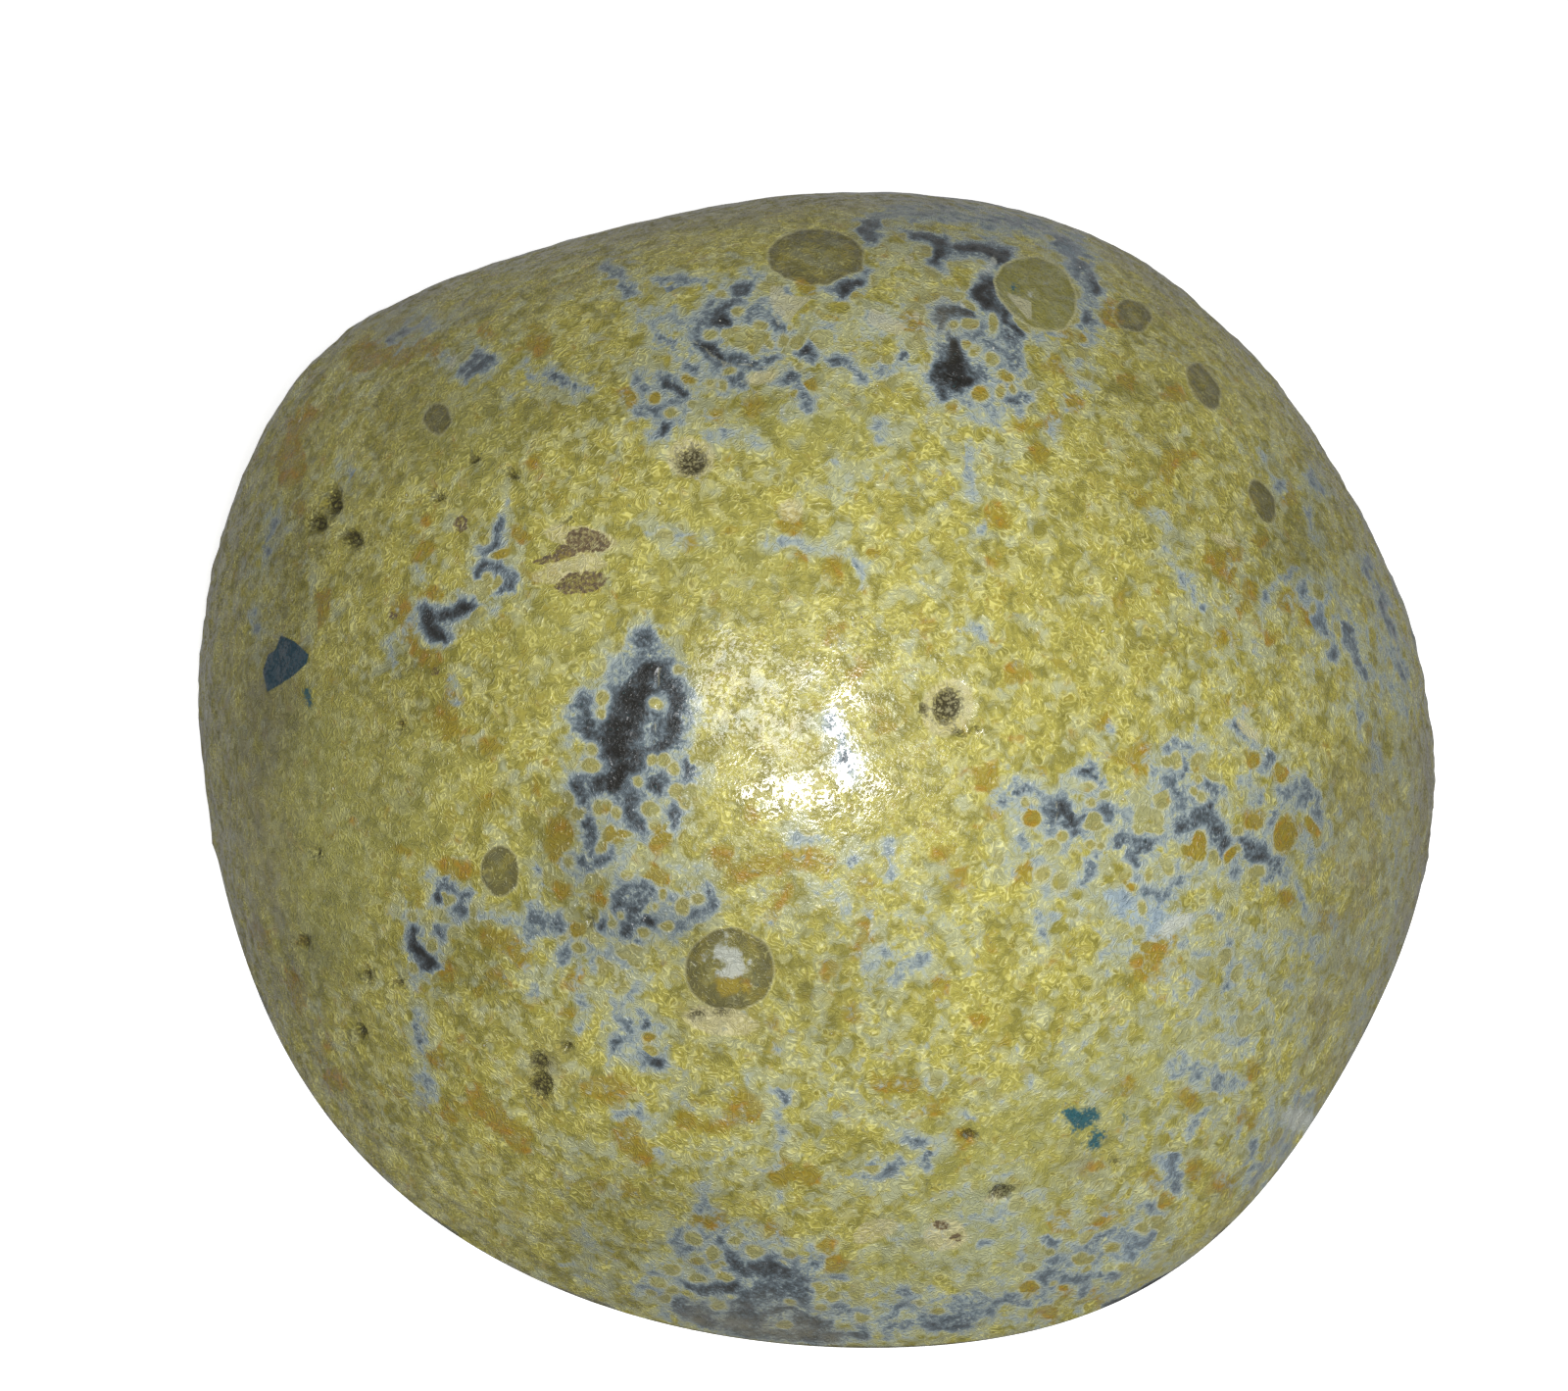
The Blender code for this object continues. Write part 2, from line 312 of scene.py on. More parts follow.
        (0.54, (1110, 1290, 9), (1122, 1300, 9), (1140, 1300, 6)),
        (0.54, (1070, 1265, 8), (1076, 1280, 9), (1086, 1290, 9)),
        (0.61, (1060, 1298, 6), (1066, 1306, 9), (1076, 1310, 7)),
        (0.52, (1095, 1300, 9), (1106, 1320, 7), (1100, 1337, 6)),
        (0.61, (1030, 1322, 8), (1040, 1318, 6)),
        (0.52, (1000, 1325, 11), (1052, 1328, 9), (1080, 1328, 8)),
        (0.63, (985, 1341, 8), (995, 1346, 7), (950, 1352, 8)),
        (0.52, (945, 1345, 12), (960, 1335, 12), (980, 1325, 11)),
        (0.46, (1215, 1090, 8), (1225, 1100, 7)), (0.46, (1200, 1098, 7)),
        (0.50, (1250, 1098, 7), (1262, 1108, 9)),
        (0.50, (1235, 1128, 6), (1220, 1145, 6), (1208, 1160, 6)),
        (0.50, (1285, 1165, 6), (1275, 1178, 5), (1262, 1195, 5)),
        (0.44, (1290, 1060, 6), (1262, 1060, 6)),
    ),
}

# lighter places inside the patches: how much shallower, then strokes
lighterStrokes = (
    (0.25, (692, 722, 8)), (0.20, (590, 762, 9)), (0.25, (1128, 850, 9)),
    (0.30, (800, 1349, 9), (788, 1350, 8)), (0.35, (734, 1330, 13)), (0.20, (860, 1357, 9)),
    (0.35, (765, 1310, 5)), (0.25, (708, 1322, 7)),
)

# how hazy the ground is between the patches
hazeStrokes = (
    (0.30, (560, 960, 60), (640, 940, 60), (720, 900, 40)), (0.24, (820, 920, 60), (960, 960, 70)),
    (0.21, (640, 1180, 90), (860, 1100, 110), (960, 1130, 80)),
    (0.33, (1050, 840, 50), (1200, 850, 90), (1330, 860, 60)),
    (0.31, (1180, 950, 90), (1250, 1040, 90), (1330, 960, 70)), (0.21, (1260, 640, 90), (1370, 640, 60)),
    (0.23, (1100, 1080, 80), (1230, 1150, 90)), (0.33, (1150, 1260, 80), (1030, 1320, 60)),
    (0.40, (720, 1290, 60), (840, 1320, 50)), (0.25, (600, 1290, 50)), (0.29, (950, 1320, 40)),
    (0.28, (700, 370, 80), (860, 340, 80), (1000, 350, 80), (1090, 300, 50)),
    (0.17, (850, 460, 60), (1010, 470, 70)), (0.16, (500, 370, 60)), (0.12, (950, 600, 110)),
    (0.23, (470, 920, 50)), (0.34, (1030, 1225, 45), (980, 1250, 40), (920, 1270, 24)),
    (0.40, (700, 400, 22), (740, 370, 24), (800, 345, 28), (830, 400, 18), (660, 330, 18)),
    (0.36, (1400, 640, 26), (1430, 720, 20), (1340, 600, 24)), (0.34, (660, 1310, 26), (930, 1330, 30)),
    (0.38, (660, 1060, 26)), (0.34, (1200, 560, 14), (1180, 520, 10)),
    (0.30, (600, 890, 26), (625, 960, 36), (650, 1050, 36)), (0.28, (850, 900, 26), (900, 1000, 24)),
    (0.26, (1420, 700, 30), (1425, 900, 30), (1390, 1050, 30)),
    (0.38, (1320, 1130, 40), (1290, 1190, 30)), (0.10, (850, 560, 90)), (0.14, (430, 620, 60)),
    (0.10, (300, 560, 40)), (0.18, (560, 820, 40)),
)

# golden spots in the clear silica: x, y, radius across, radius down, and a turn in degrees if any
goldenSpots = (
    (614, 712, 6, 7), (613, 727, 5, 5), (670, 718, 7, 6), (584, 769, 5, 5), (603, 765, 6, 6),
    (603, 781, 10, 7), (665, 775, 5, 5), (678, 776, 7, 7), (688, 784, 6, 6), (651, 797, 5, 5),
    (690, 807, 8, 7), (706, 808, 7, 7), (700, 820, 6, 6), (577, 818, 8, 10), (663, 826, 9, 8),
    (611, 824, 5, 8), (629, 829, 5, 6), (573, 853, 13, 15), (621, 850, 6, 9, 20), (614, 863, 5, 8, 20),
    (636, 851, 9, 5), (675, 857, 13, 6, -20), (650, 877, 7, 10, 30), (640, 892, 6, 6),
    (673, 895, 13, 6, 15), (593, 828, 4, 4), (668, 842, 5, 4), (717, 768, 5, 7), (694, 683, 5, 4),
    (573, 909, 8, 7), (613, 918, 6, 8, -20), (607, 932, 4, 8), (676, 913, 4, 5), (669, 926, 3, 4),
    (657, 952, 6, 5), (680, 945, 8, 5), (633, 934, 3, 3), (625, 943, 4, 4), (588, 948, 6, 9),
    (609, 957, 10, 5, 15), (592, 967, 7, 6, 30), (645, 972, 15, 8, 5), (634, 994, 4, 4), (618, 990, 8, 9),
    (662, 1058, 7, 5), (578, 1035, 9, 11), (735, 938, 8, 7), (697, 925, 7, 9), (712, 918, 7, 5),
    (745, 908, 8, 6), (494, 550, 6, 6), (512, 565, 12, 4, -15), (538, 586, 6, 7), (530, 545, 8, 5, 20),
    (497, 591, 5, 6), (492, 606, 5, 8), (477, 596, 7, 9), (463, 610, 4, 4), (441, 605, 6, 9),
    (479, 636, 4, 4), (459, 918, 5, 5), (484, 928, 4, 8), (449, 932, 4, 4), (497, 944, 4, 5),
    (442, 964, 5, 6), (928, 290, 40, 20, 5), (912, 254, 15, 9), (941, 256, 10, 7), (983, 273, 15, 7, 5),
    (975, 303, 8, 5), (1013, 330, 5, 9), (973, 332, 5, 3), (986, 352, 5, 4, 30), (993, 361, 5, 4),
    (1012, 366, 7, 6, 30), (1022, 383, 5, 5), (1029, 387, 6, 5), (1000, 402, 9, 8), (1020, 400, 5, 6),
    (1033, 398, 4, 4), (1052, 392, 8, 7), (1066, 405, 9, 9), (943, 408, 6, 6), (971, 415, 8, 5, -20),
    (908, 348, 7, 6), (905, 365, 7, 6), (938, 356, 6, 7), (945, 365, 5, 5), (939, 342, 6, 5),
    (918, 394, 17, 12, -20), (887, 363, 10, 8), (900, 395, 8, 6), (725, 342, 7, 5), (755, 346, 12, 8),
    (769, 350, 8, 10), (776, 332, 7, 5), (799, 347, 5, 7), (785, 350, 5, 5), (735, 299, 6, 4),
    (707, 310, 8, 6), (783, 292, 10, 6), (815, 373, 5, 4), (828, 392, 5, 5), (847, 384, 7, 5),
    (862, 352, 8, 6), (840, 412, 6, 6), (700, 386, 5, 5), (680, 368, 5, 6), (668, 406, 6, 6),
    (643, 403, 7, 5, 20), (685, 420, 6, 5), (708, 413, 7, 4, 30), (725, 390, 4, 4), (738, 393, 4, 5),
    (704, 427, 4, 5), (852, 318, 22, 10), (832, 306, 12, 7), (1046, 818, 4, 4), (1112, 819, 5, 4),
    (1127, 810, 6, 5), (1109, 802, 8, 5), (1117, 842, 11, 5), (1083, 853, 6, 6), (1052, 835, 11, 8, 10),
    (1162, 845, 5, 6), (1182, 846, 5, 5), (1113, 862, 5, 5), (1124, 863, 4, 4), (1096, 870, 5, 5),
    (1222, 862, 8, 15, 10), (1211, 867, 9, 6), (1263, 848, 6, 5), (1255, 872, 5, 11, 30),
    (1283, 889, 7, 6), (1280, 838, 10, 8), (1312, 854, 12, 16, 25), (1341, 844, 5, 14, -30),
    (1308, 790, 7, 9), (1280, 775, 7, 9), (1200, 776, 5, 9), (1222, 795, 4, 4), (1218, 807, 4, 4),
    (1225, 813, 4, 5), (1190, 777, 6, 6), (1155, 905, 6, 5), (1146, 947, 7, 4), (1165, 926, 4, 8),
    (1088, 927, 9, 5), (1190, 882, 6, 12, -20), (1172, 893, 4, 8), (1141, 890, 14, 11),
    (1177, 968, 14, 7, 10), (1304, 917, 14, 7), (750, 1268, 6, 4), (727, 1278, 6, 7), (711, 1287, 9, 4),
    (730, 1293, 5, 3), (712, 1305, 9, 4), (740, 1302, 9, 4), (687, 1297, 8, 5), (672, 1307, 9, 4, 20),
    (685, 1316, 6, 4), (770, 1277, 9, 6), (806, 1277, 7, 5), (850, 1288, 8, 9), (845, 1267, 7, 5),
    (850, 1324, 8, 5), (875, 1320, 9, 9), (733, 1330, 7, 4), (880, 1345, 7, 4), (1148, 1292, 7, 5),
    (1103, 1285, 8, 6), (1085, 1314, 6, 4), (1050, 1312, 11, 6), (1050, 1293, 9, 5), (1070, 1277, 6, 4),
    (1135, 1275, 8, 5, -20), (1182, 1248, 8, 7), (1187, 1226, 6, 8), (1166, 1252, 7, 4, -30),
    (1075, 1340, 13, 5),
)

# rusty ochre stains: strength, then points (x, y, radius), as for all the strokes below
stainStrokes = (
    (1.0, (575, 850, 12), (572, 862, 10)), (0.7, (624, 856, 9), (634, 852, 8)), (0.8, (675, 858, 11)),
    (0.9, (673, 895, 9)), (1.0, (735, 866, 7), (737, 880, 6)), (0.8, (769, 836, 7)),
    (0.9, (800, 880, 9), (820, 875, 10), (845, 884, 7)), (0.8, (749, 895, 8), (779, 884, 9)),
    (0.7, (884, 676, 6), (871, 688, 6)), (0.8, (856, 645, 4), (848, 657, 4)),
    (0.7, (790, 928, 7), (800, 912, 8)), (0.9, (330, 608, 5), (331, 622, 6), (333, 632, 5)),
    (0.9, (512, 565, 8)), (0.9, (410, 617, 7), (422, 640, 6), (426, 664, 7), (440, 672, 6)),
    (1.0, (441, 604, 6)), (1.0, (457, 730, 5), (459, 748, 6)), (0.8, (464, 713, 6)), (0.7, (408, 866, 6)),
    (1.0, (459, 889, 9), (475, 887, 8)), (0.8, (495, 817, 6)), (0.8, (613, 918, 6)),
    (0.8, (1150, 394, 7)), (0.9, (1199, 403, 7)), (1.0, (1058, 463, 8)), (0.7, (1074, 430, 7)),
    (0.9, (662, 1058, 6)), (0.8, (1097, 412, 6)), (0.9, (1046, 435, 6)),
    (1.0, (1023, 529, 8), (1012, 524, 6)), (0.9, (1166, 511, 6)), (0.6, (1194, 470, 13)),
    (1.0, (1224, 855, 7), (1214, 866, 8)), (1.1, (1315, 846, 10), (1306, 862, 10)), (0.9, (1255, 872, 6)),
    (1.0, (1308, 790, 7)), (0.9, (1280, 775, 8)), (0.9, (1281, 838, 9)), (1.0, (1052, 834, 9)),
    (0.9, (1341, 844, 7)), (1.0, (1008, 797, 10)), (0.9, (1012, 828, 9)), (0.9, (1154, 904, 5)),
    (0.9, (1178, 968, 11), (1190, 962, 8)), (0.9, (1316, 915, 7)), (0.7, (1352, 937, 9)),
    (0.9, (1163, 769, 9), (1168, 785, 7)), (1.0, (588, 948, 7)), (0.7, (1092, 753, 7)),
    (0.8, (1125, 740, 7)), (0.9, (621, 1108, 13), (610, 1104, 9)), (1.0, (759, 1131, 13)),
    (0.9, (723, 1149, 7), (736, 1151, 6)), (1.0, (644, 1162, 14), (656, 1174, 10)), (0.8, (639, 1212, 7)),
    (1.0, (573, 909, 6)), (0.6, (611, 1212, 7)), (0.9, (710, 1245, 9), (735, 1248, 9)),
    (1.0, (797, 1195, 8)), (0.9, (825, 1202, 8)), (1.0, (789, 1255, 6)),
    (0.8, (850, 1288, 9), (846, 1268, 6)), (1.0, (898, 1103, 7), (925, 1103, 7)), (0.8, (864, 1128, 6)),
    (0.8, (1118, 1195, 7)), (0.7, (1154, 1108, 8)), (0.8, (1215, 1122, 7)), (0.7, (1276, 1090, 8)),
    (0.6, (1271, 1138, 9)), (0.9, (1248, 1208, 11)), (0.8, (1222, 1193, 8)),
    (0.6, (1133, 1238, 11), (1120, 1248, 8)), (0.8, (1083, 1247, 11)), (1.0, (1050, 1312, 8)),
    (0.9, (1085, 1314, 5)), (0.7, (1118, 1320, 8)), (0.8, (1071, 1338, 10)), (1.0, (530, 968, 9)),
    (0.8, (498, 962, 8), (512, 958, 8)), (1.0, (457, 988, 8)), (0.8, (590, 997, 12)),
    (0.7, (578, 1035, 9)), (0.9, (444, 1078, 8)), (0.8, (507, 992, 7)), (0.8, (493, 1012, 6)),
    (0.8, (482, 1117, 9), (500, 1135, 9)), (1.0, (528, 1163, 11), (515, 1150, 8)), (0.8, (296, 1002, 7)),
    (0.7, (337, 1071, 6)), (0.9, (342, 1102, 11)), (0.7, (304, 1018, 5)), (0.6, (258, 938, 4)),
    (0.7, (268, 954, 9)), (0.9, (493, 338, 6)), (0.9, (543, 355, 7), (556, 350, 7)),
    (0.9, (408, 362, 12)), (1.0, (368, 366, 10), (380, 360, 12)), (0.8, (429, 348, 8)),
    (0.8, (449, 356, 6)), (0.9, (319, 420, 7)), (1.0, (304, 436, 10), (298, 450, 9)),
    (1.0, (293, 470, 12), (296, 486, 8)), (0.7, (306, 519, 7)), (1.0, (530, 545, 6)),
    (0.8, (434, 562, 7), (424, 568, 5)), (1.1, (538, 585, 5)), (0.8, (546, 466, 5)), (0.7, (439, 527, 5)),
    (1.0, (1239, 572, 8), (1250, 585, 7)), (0.7, (1254, 566, 7)), (0.8, (1275, 598, 8)),
    (1.0, (1270, 620, 6)), (0.8, (1314, 610, 9)), (0.8, (1335, 628, 7)), (0.8, (1287, 549, 5)),
    (0.7, (1315, 505, 7)), (0.8, (1295, 648, 8)), (0.7, (1247, 652, 8)), (0.6, (1205, 469, 9)),
    (1.1, (808, 529, 6), (804, 536, 6)), (0.8, (817, 566, 5)), (0.9, (850, 574, 6), (852, 582, 6)),
    (0.8, (858, 594, 5)), (0.6, (704, 553, 8)), (0.6, (888, 563, 6)), (0.7, (733, 427, 8)),
    (0.6, (769, 416, 9)), (0.9, (925, 330, 7), (934, 334, 6)), (0.8, (700, 386, 5)), (0.9, (668, 406, 6)),
    (0.9, (643, 403, 7)), (1.0, (828, 392, 5)), (0.8, (1029, 387, 5)), (0.7, (1000, 403, 8)),
    (0.8, (971, 415, 6)), (0.7, (700, 1140, 8)), (0.7, (960, 870, 9)), (0.7, (980, 900, 10)),
    (0.6, (880, 905, 9)), (0.7, (1038, 685, 9)), (0.6, (1150, 610, 8)), (0.6, (950, 640, 8)),
    (0.7, (905, 740, 8)), (0.6, (545, 800, 9)), (0.6, (500, 760, 8)), (0.7, (880, 960, 9)),
    (0.7, (840, 985, 9)), (0.8, (870, 1040, 9)), (0.7, (960, 1000, 8)), (0.7, (1000, 1040, 9)),
    (0.7, (955, 1130, 8)), (0.6, (1170, 985, 12)), (0.6, (1200, 985, 9)), (0.8, (1050, 892, 9)),
    (0.8, (820, 292, 7)), (0.8, (1090, 340, 7)), (0.7, (1110, 340, 8)), (0.6, (1075, 372, 10)),
    (0.9, (1135, 320, 9)), (0.6, (460, 1130, 10)), (0.7, (600, 1110, 9)), (0.6, (430, 1125, 7)),
    (0.6, (985, 1158, 12)), (1.1, (747, 1002, 7), (735, 1006, 6)), (1.0, (760, 1004, 5)),
    (0.6, (1190, 1225, 7)), (0.6, (1175, 1205, 8)),
)

# smooth greener ground, where the fine wrinkles fade
calmStrokes = (
    (0.62, (330, 760, 45), (345, 860, 55), (330, 960, 40)), (0.5, (400, 850, 40), (420, 800, 40)),
    (0.9, (1000, 1230, 45), (1050, 1270, 30)), (0.6, (1040, 1200, 60), (920, 1290, 30)),
    (0.6, (1100, 1150, 50), (1190, 1080, 40), (980, 1190, 50)), (0.4, (480, 440, 50)),
    (0.35, (560, 650, 40)), (0.5, (800, 430, 25), (870, 440, 25)), (0.4, (720, 560, 40), (780, 590, 30)),
    (0.5, (560, 880, 20)),
)

# dull brownish grey: along the outline a painted grey sheen where the dome turns away from view, elsewhere
# dust where the rind is scuffed
dustAndSheenStrokes = (
    (0.9, (1458, 760, 8), (1454, 860, 10), (1438, 960, 12), (1412, 1040, 12), (1366, 1130, 10),
     (1306, 1215, 12), (1240, 1285, 12), (1150, 1335, 8)),
    (0.45, (1400, 800, 30), (1390, 920, 30), (1350, 1030, 20)),
    (0.5, (270, 700, 30), (262, 820, 26), (275, 930, 24)),
    (0.7, (700, 1345, 8), (780, 1352, 12), (850, 1366, 8)),
    (0.5, (640, 240, 20), (800, 208, 14), (960, 205, 12)), (0.6, (430, 300, 16), (390, 330, 14)),
    (0.4, (1100, 215, 14), (1200, 300, 16)), (0.5, (960, 328, 12)),
    (0.6, (745, 1040, 18), (720, 1038, 12)), (0.5, (560, 1090, 16)), (0.5, (1110, 1190, 14)),
)

# broad darkening of the rind, mostly over the left half and near the outline: partly painted shade, partly
# the rind's own darker tone; the last two strokes are a dark smudge right of the big orb
paintedShadeAndToneStrokes = (
    (0.33, (290, 560, 50), (280, 760, 40)), (0.28, (330, 980, 50)),
    (0.16, (700, 640, 40), (700, 700, 30)), (0.28, (420, 700, 60)), (0.27, (470, 980, 70)),
    (0.36, (580, 840, 40), (600, 930, 50), (700, 960, 40)), (0.22, (400, 820, 50)),
    (0.12, (260, 800, 30)), (0.18, (700, 1090, 50)),
    (0.20, (430, 430, 60), (640, 390, 50), (800, 390, 40)), (0.08, (540, 540, 50), (560, 760, 30)),
    (0.19, (1160, 400, 50)), (0.40, (1320, 560, 40)), (0.12, (860, 250, 40), (1000, 250, 30)),
    (0.20, (1410, 760, 30), (1340, 850, 50), (1340, 960, 40)), (0.16, (420, 1130, 50)),
    (0.25, (600, 1250, 50), (720, 1240, 50)), (0.14, (860, 1180, 50)), (0.12, (1200, 560, 40)),
    (0.45, (820, 1008, 10), (826, 1016, 8)), (0.35, (846, 1036, 9)),
)

# pale crust, vivid blue in the silica, and teal specks
whiteStrokes = (
    (1.1, (734, 972, 8), (750, 976, 9), (752, 988, 9), (740, 992, 7)), (0.8, (729, 980, 5)),
    (0.7, (757, 972, 4)), (1.1, (1190, 948, 7), (1208, 938, 8)), (0.7, (1178, 956, 7)),
    (0.8, (1004, 276, 5), (1012, 267, 5)), (0.7, (982, 313, 4)), (0.6, (1050, 300, 3), (1068, 288, 3)),
    (0.6, (1225, 905, 6), (1240, 890, 6)), (0.9, (720, 976, 4)), (0.9, (766, 984, 5)),
    (0.9, (742, 955, 4)), (0.6, (640, 895, 6)), (1.0, (1320, 1140, 14), (1345, 1150, 12)),
    (0.6, (1300, 1180, 10)), (0.5, (905, 1180, 8)), (0.6, (700, 452, 12), (716, 462, 8), (712, 484, 8)),
)
azureStrokes = (
    (1.0, (1135, 915, 10), (1145, 926, 10), (1160, 935, 8)), (1.0, (1182, 930, 9), (1175, 950, 9)),
    (0.6, (1092, 255, 12)), (0.5, (1340, 620, 14)), (0.5, (1195, 1190, 12)), (0.4, (1160, 1270, 20)),
)
tealStrokes = (
    (0.9, (313, 704, 3), (316, 720, 3)), (1.05, (1093, 1137, 8), (1103, 1142, 12), (1113, 1139, 9)),
    (0.9, (1121, 1161, 8), (1117, 1168, 6)), (0.6, (1148, 1140, 3)), (1.0, (1034, 295, 3)),
)

# see-through olive orbs, the last of them with an uneven outline, and the teal flake
orbs = (
    (745, 989, 46, 42), (833, 262, 50, 28), (510, 889, 19, 26), (447, 428, 14, 17),
    (1228, 394, 14, 26, -28), (1156, 322, 19, 16, 20), (1289, 510, 11, 24, -25),
)
lensOrb = (
    (1022, 272), (1036, 265), (1058, 262), (1076, 268), (1090, 280), (1099, 300), (1097, 320),
    (1087, 336), (1070, 338), (1052, 335), (1032, 320), (1018, 302), (1014, 286),
)
tealFlake = (
    (286, 648), (301, 654), (316, 668), (314, 677), (300, 689), (273, 706), (268, 685), (272, 668),
    (280, 663),
)

# dark speckled pits, sunk into the rind: x, y, radius across, radius down, turn
pits = (
    (705, 469, 17, 16), (967, 719, 15, 20, 20), (943, 724, 5, 9), (978, 747, 8, 5), (995, 744, 6, 5),
    (1022, 1216, 14, 9, -15), (549, 1084, 10, 12), (552, 1108, 13, 15), (579, 1068, 6, 6),
    (340, 512, 9, 17), (323, 532, 13, 10, 30), (358, 548, 13, 8, 30), (483, 468, 7, 6), (447, 506, 8, 6),
    (523, 484, 7, 5, 30), (375, 995, 7, 8), (406, 1002, 6, 5), (367, 1053, 7, 9), (311, 960, 6, 7),
    (322, 870, 5, 5), (408, 740, 4, 8), (577, 532, 5, 3), (988, 1158, 9, 6), (710, 1036, 9, 5),
    (735, 1034, 8, 4), (603, 940, 3, 6), (1139, 1187, 6, 3), (948, 1208, 3, 3),
)

# dry buff patches, pinkish brown dotted ones, pale straight-sided chips and fine cracks
buffPatches = (
    (967, 722, 26, 30, 20), (705, 466, 24, 22), (585, 578, 36, 8, -4), (560, 588, 20, 8),
    (596, 566, 16, 6, 10), (892, 1257, 24, 12, -20), (965, 1260, 22, 16), (775, 385, 15, 7, -15),
    (806, 520, 13, 13), (1250, 551, 16, 6, 20), (1275, 745, 14, 5, 45), (735, 1042, 40, 14, 8),
    (590, 548, 40, 12, 8), (1012, 1222, 10, 6, -20),
)
pinkPatches = (
    (598, 551, 23, 12, 8), (578, 562, 20, 6, -20), (556, 571, 12, 4, -5), (593, 594, 28, 11, -10),
    (444, 685, 7, 5), (470, 535, 8, 9), (877, 633, 4, 5), (402, 628, 5, 5), (961, 1250, 10, 4, 10),
    (975, 1263, 6, 3),
)
creamChips = (
    ((786, 290), (798, 292), (802, 300), (830, 303), (812, 318), (806, 330), (790, 318), (785, 306)),
    ((888, 314), (904, 321), (926, 334), (918, 343), (903, 338), (884, 330)),
    ((930, 318), (938, 318), (938, 331), (932, 326)), ((922, 262), (931, 259), (934, 269), (924, 270)),
    ((1023, 297), (1052, 308), (1053, 331)), ((462, 362), (468, 362), (461, 380), (456, 378)),
)
cracks = (
    ((705, 346), (737, 369)), ((737, 369), (771, 372)), ((771, 372), (836, 379)),
    ((795, 290), (787, 315)), ((787, 315), (801, 340)), ((740, 371), (720, 402)),
    ((430, 1024), (430, 1082)), ((424, 1150), (452, 1208)), ((419, 675), (390, 702)),
    ((675, 682), (671, 700)), ((671, 718), (667, 757)), ((530, 1110), (590, 1270)),
    ((1078, 818), (1078, 858)),
)


farAway = 30.0   # pixels: no mark is felt further off than this


def alongLine(places, first, last):
    # how far along the line each place lies, from 0 to 1, and how far away from it
    along = last - first
    share = np.clip(((places - first) @ along) / max(along @ along, 1e-9), 0.0, 1.0)
    return share, np.linalg.norm(places - first - share[:, None] * along, axis=1)


def strokeValues(places, points, edgeValue, peak, outside):
    # peak along the middle of a stroke, edgeValue at its radius, falling to 0 over 'outside' pixels beyond
    best = np.zeros(len(places))
    for start, stop in zip(points, points[1:] or points):
        share, away = alongLine(places, np.array(start[:2], float), np.array(stop[:2], float))
        radius = start[2] + (stop[2] - start[2]) * share
        inner = edgeValue + (peak - edgeValue) * (1.0 - (away / radius) ** 2)
        outer = edgeValue * (1.0 - (away - radius) / outside)
        best = np.maximum(best, np.where(away < radius, inner, outer))
    return np.maximum(best, 0.0)


def paintStrokes(places, strokes, outside, edgeShare=0.5):
    field = np.zeros(len(places))
    for peak, *points in strokes:
        spots = np.array([point[:2] for point in points], float)
        reach = max(point[2] for point in points) + outside
        near = np.all((places > spots.min(axis=0) - reach) & (places < spots.max(axis=0) + reach), axis=1)
        if near.any():
            value = strokeValues(places[near], points, edgeShare * peak, peak, outside)
            field[near] = np.maximum(field[near], value)
    return field


def insideSpots(places, spots):
    # how far inside the nearest oval spot each place lies, in pixels
    depth = np.full(len(places), -farAway)
    for spot in spots:
        x, y, radiusX, radiusY = spot[:4]
        turn = math.radians(spot[4]) if len(spot) > 4 else 0.0
        near = ((np.abs(places[:, 0] - x) < radiusX + farAway)
                & (np.abs(places[:, 1] - y) < radiusY + farAway))
        dx, dy = places[near, 0] - x, places[near, 1] - y
        across = (dx * math.cos(turn) + dy * math.sin(turn)) / radiusX
        down = (-dx * math.sin(turn) + dy * math.cos(turn)) / radiusY
        depth[near] = np.maximum(depth[near], (1.0 - np.hypot(across, down)) * math.sqrt(radiusX * radiusY))
    return depth


def insidePolygon(places, corners):
    # how far inside a straight-sided shape each place lies, in pixels
    corners = np.array(corners, float)
    depth = np.full(len(places), -farAway)
    low, high = corners.min(axis=0) - farAway, corners.max(axis=0) + farAway
    near = np.all((places > low) & (places < high), axis=1)
    spots = places[near]
    closest = np.full(len(spots), farAway)
    inside = np.zeros(len(spots), bool)
    for first, last in zip(corners, np.roll(corners, -1, axis=0)):
        closest = np.minimum(closest, alongLine(spots, first, last)[1])
        crosses = (first[1] > spots[:, 1]) != (last[1] > spots[:, 1])
        slope = (last[0] - first[0]) / (last[1] - first[1] if last[1] != first[1] else 1e-9)
        inside ^= crosses & (spots[:, 0] < first[0] + slope * (spots[:, 1] - first[1]))
    depth[near] = np.where(inside, closest, -closest)
    return depth


def lineDistance(places, lines):
    closest = np.full(len(places), farAway)
    for line in lines:
        closest = np.minimum(closest, alongLine(places, *np.array(line, float))[1])
    return closest


def smoothStep(value, low, high):
    share = np.clip((value - low) / (high - low), 0.0, 1.0)
    return share * share * (3.0 - 2.0 * share)


def waver(places, photo, reach, amount, seed):
    # nudges photograph places about, so that drawn strokes get uneven edges
    shift = Vector((seed, seed * 1.7, -seed))
    pushes = np.array([noise.noise_vector(Vector(place) * (1.0 / reach) + shift)[:2] for place in places])
    return photo + pushes * amount


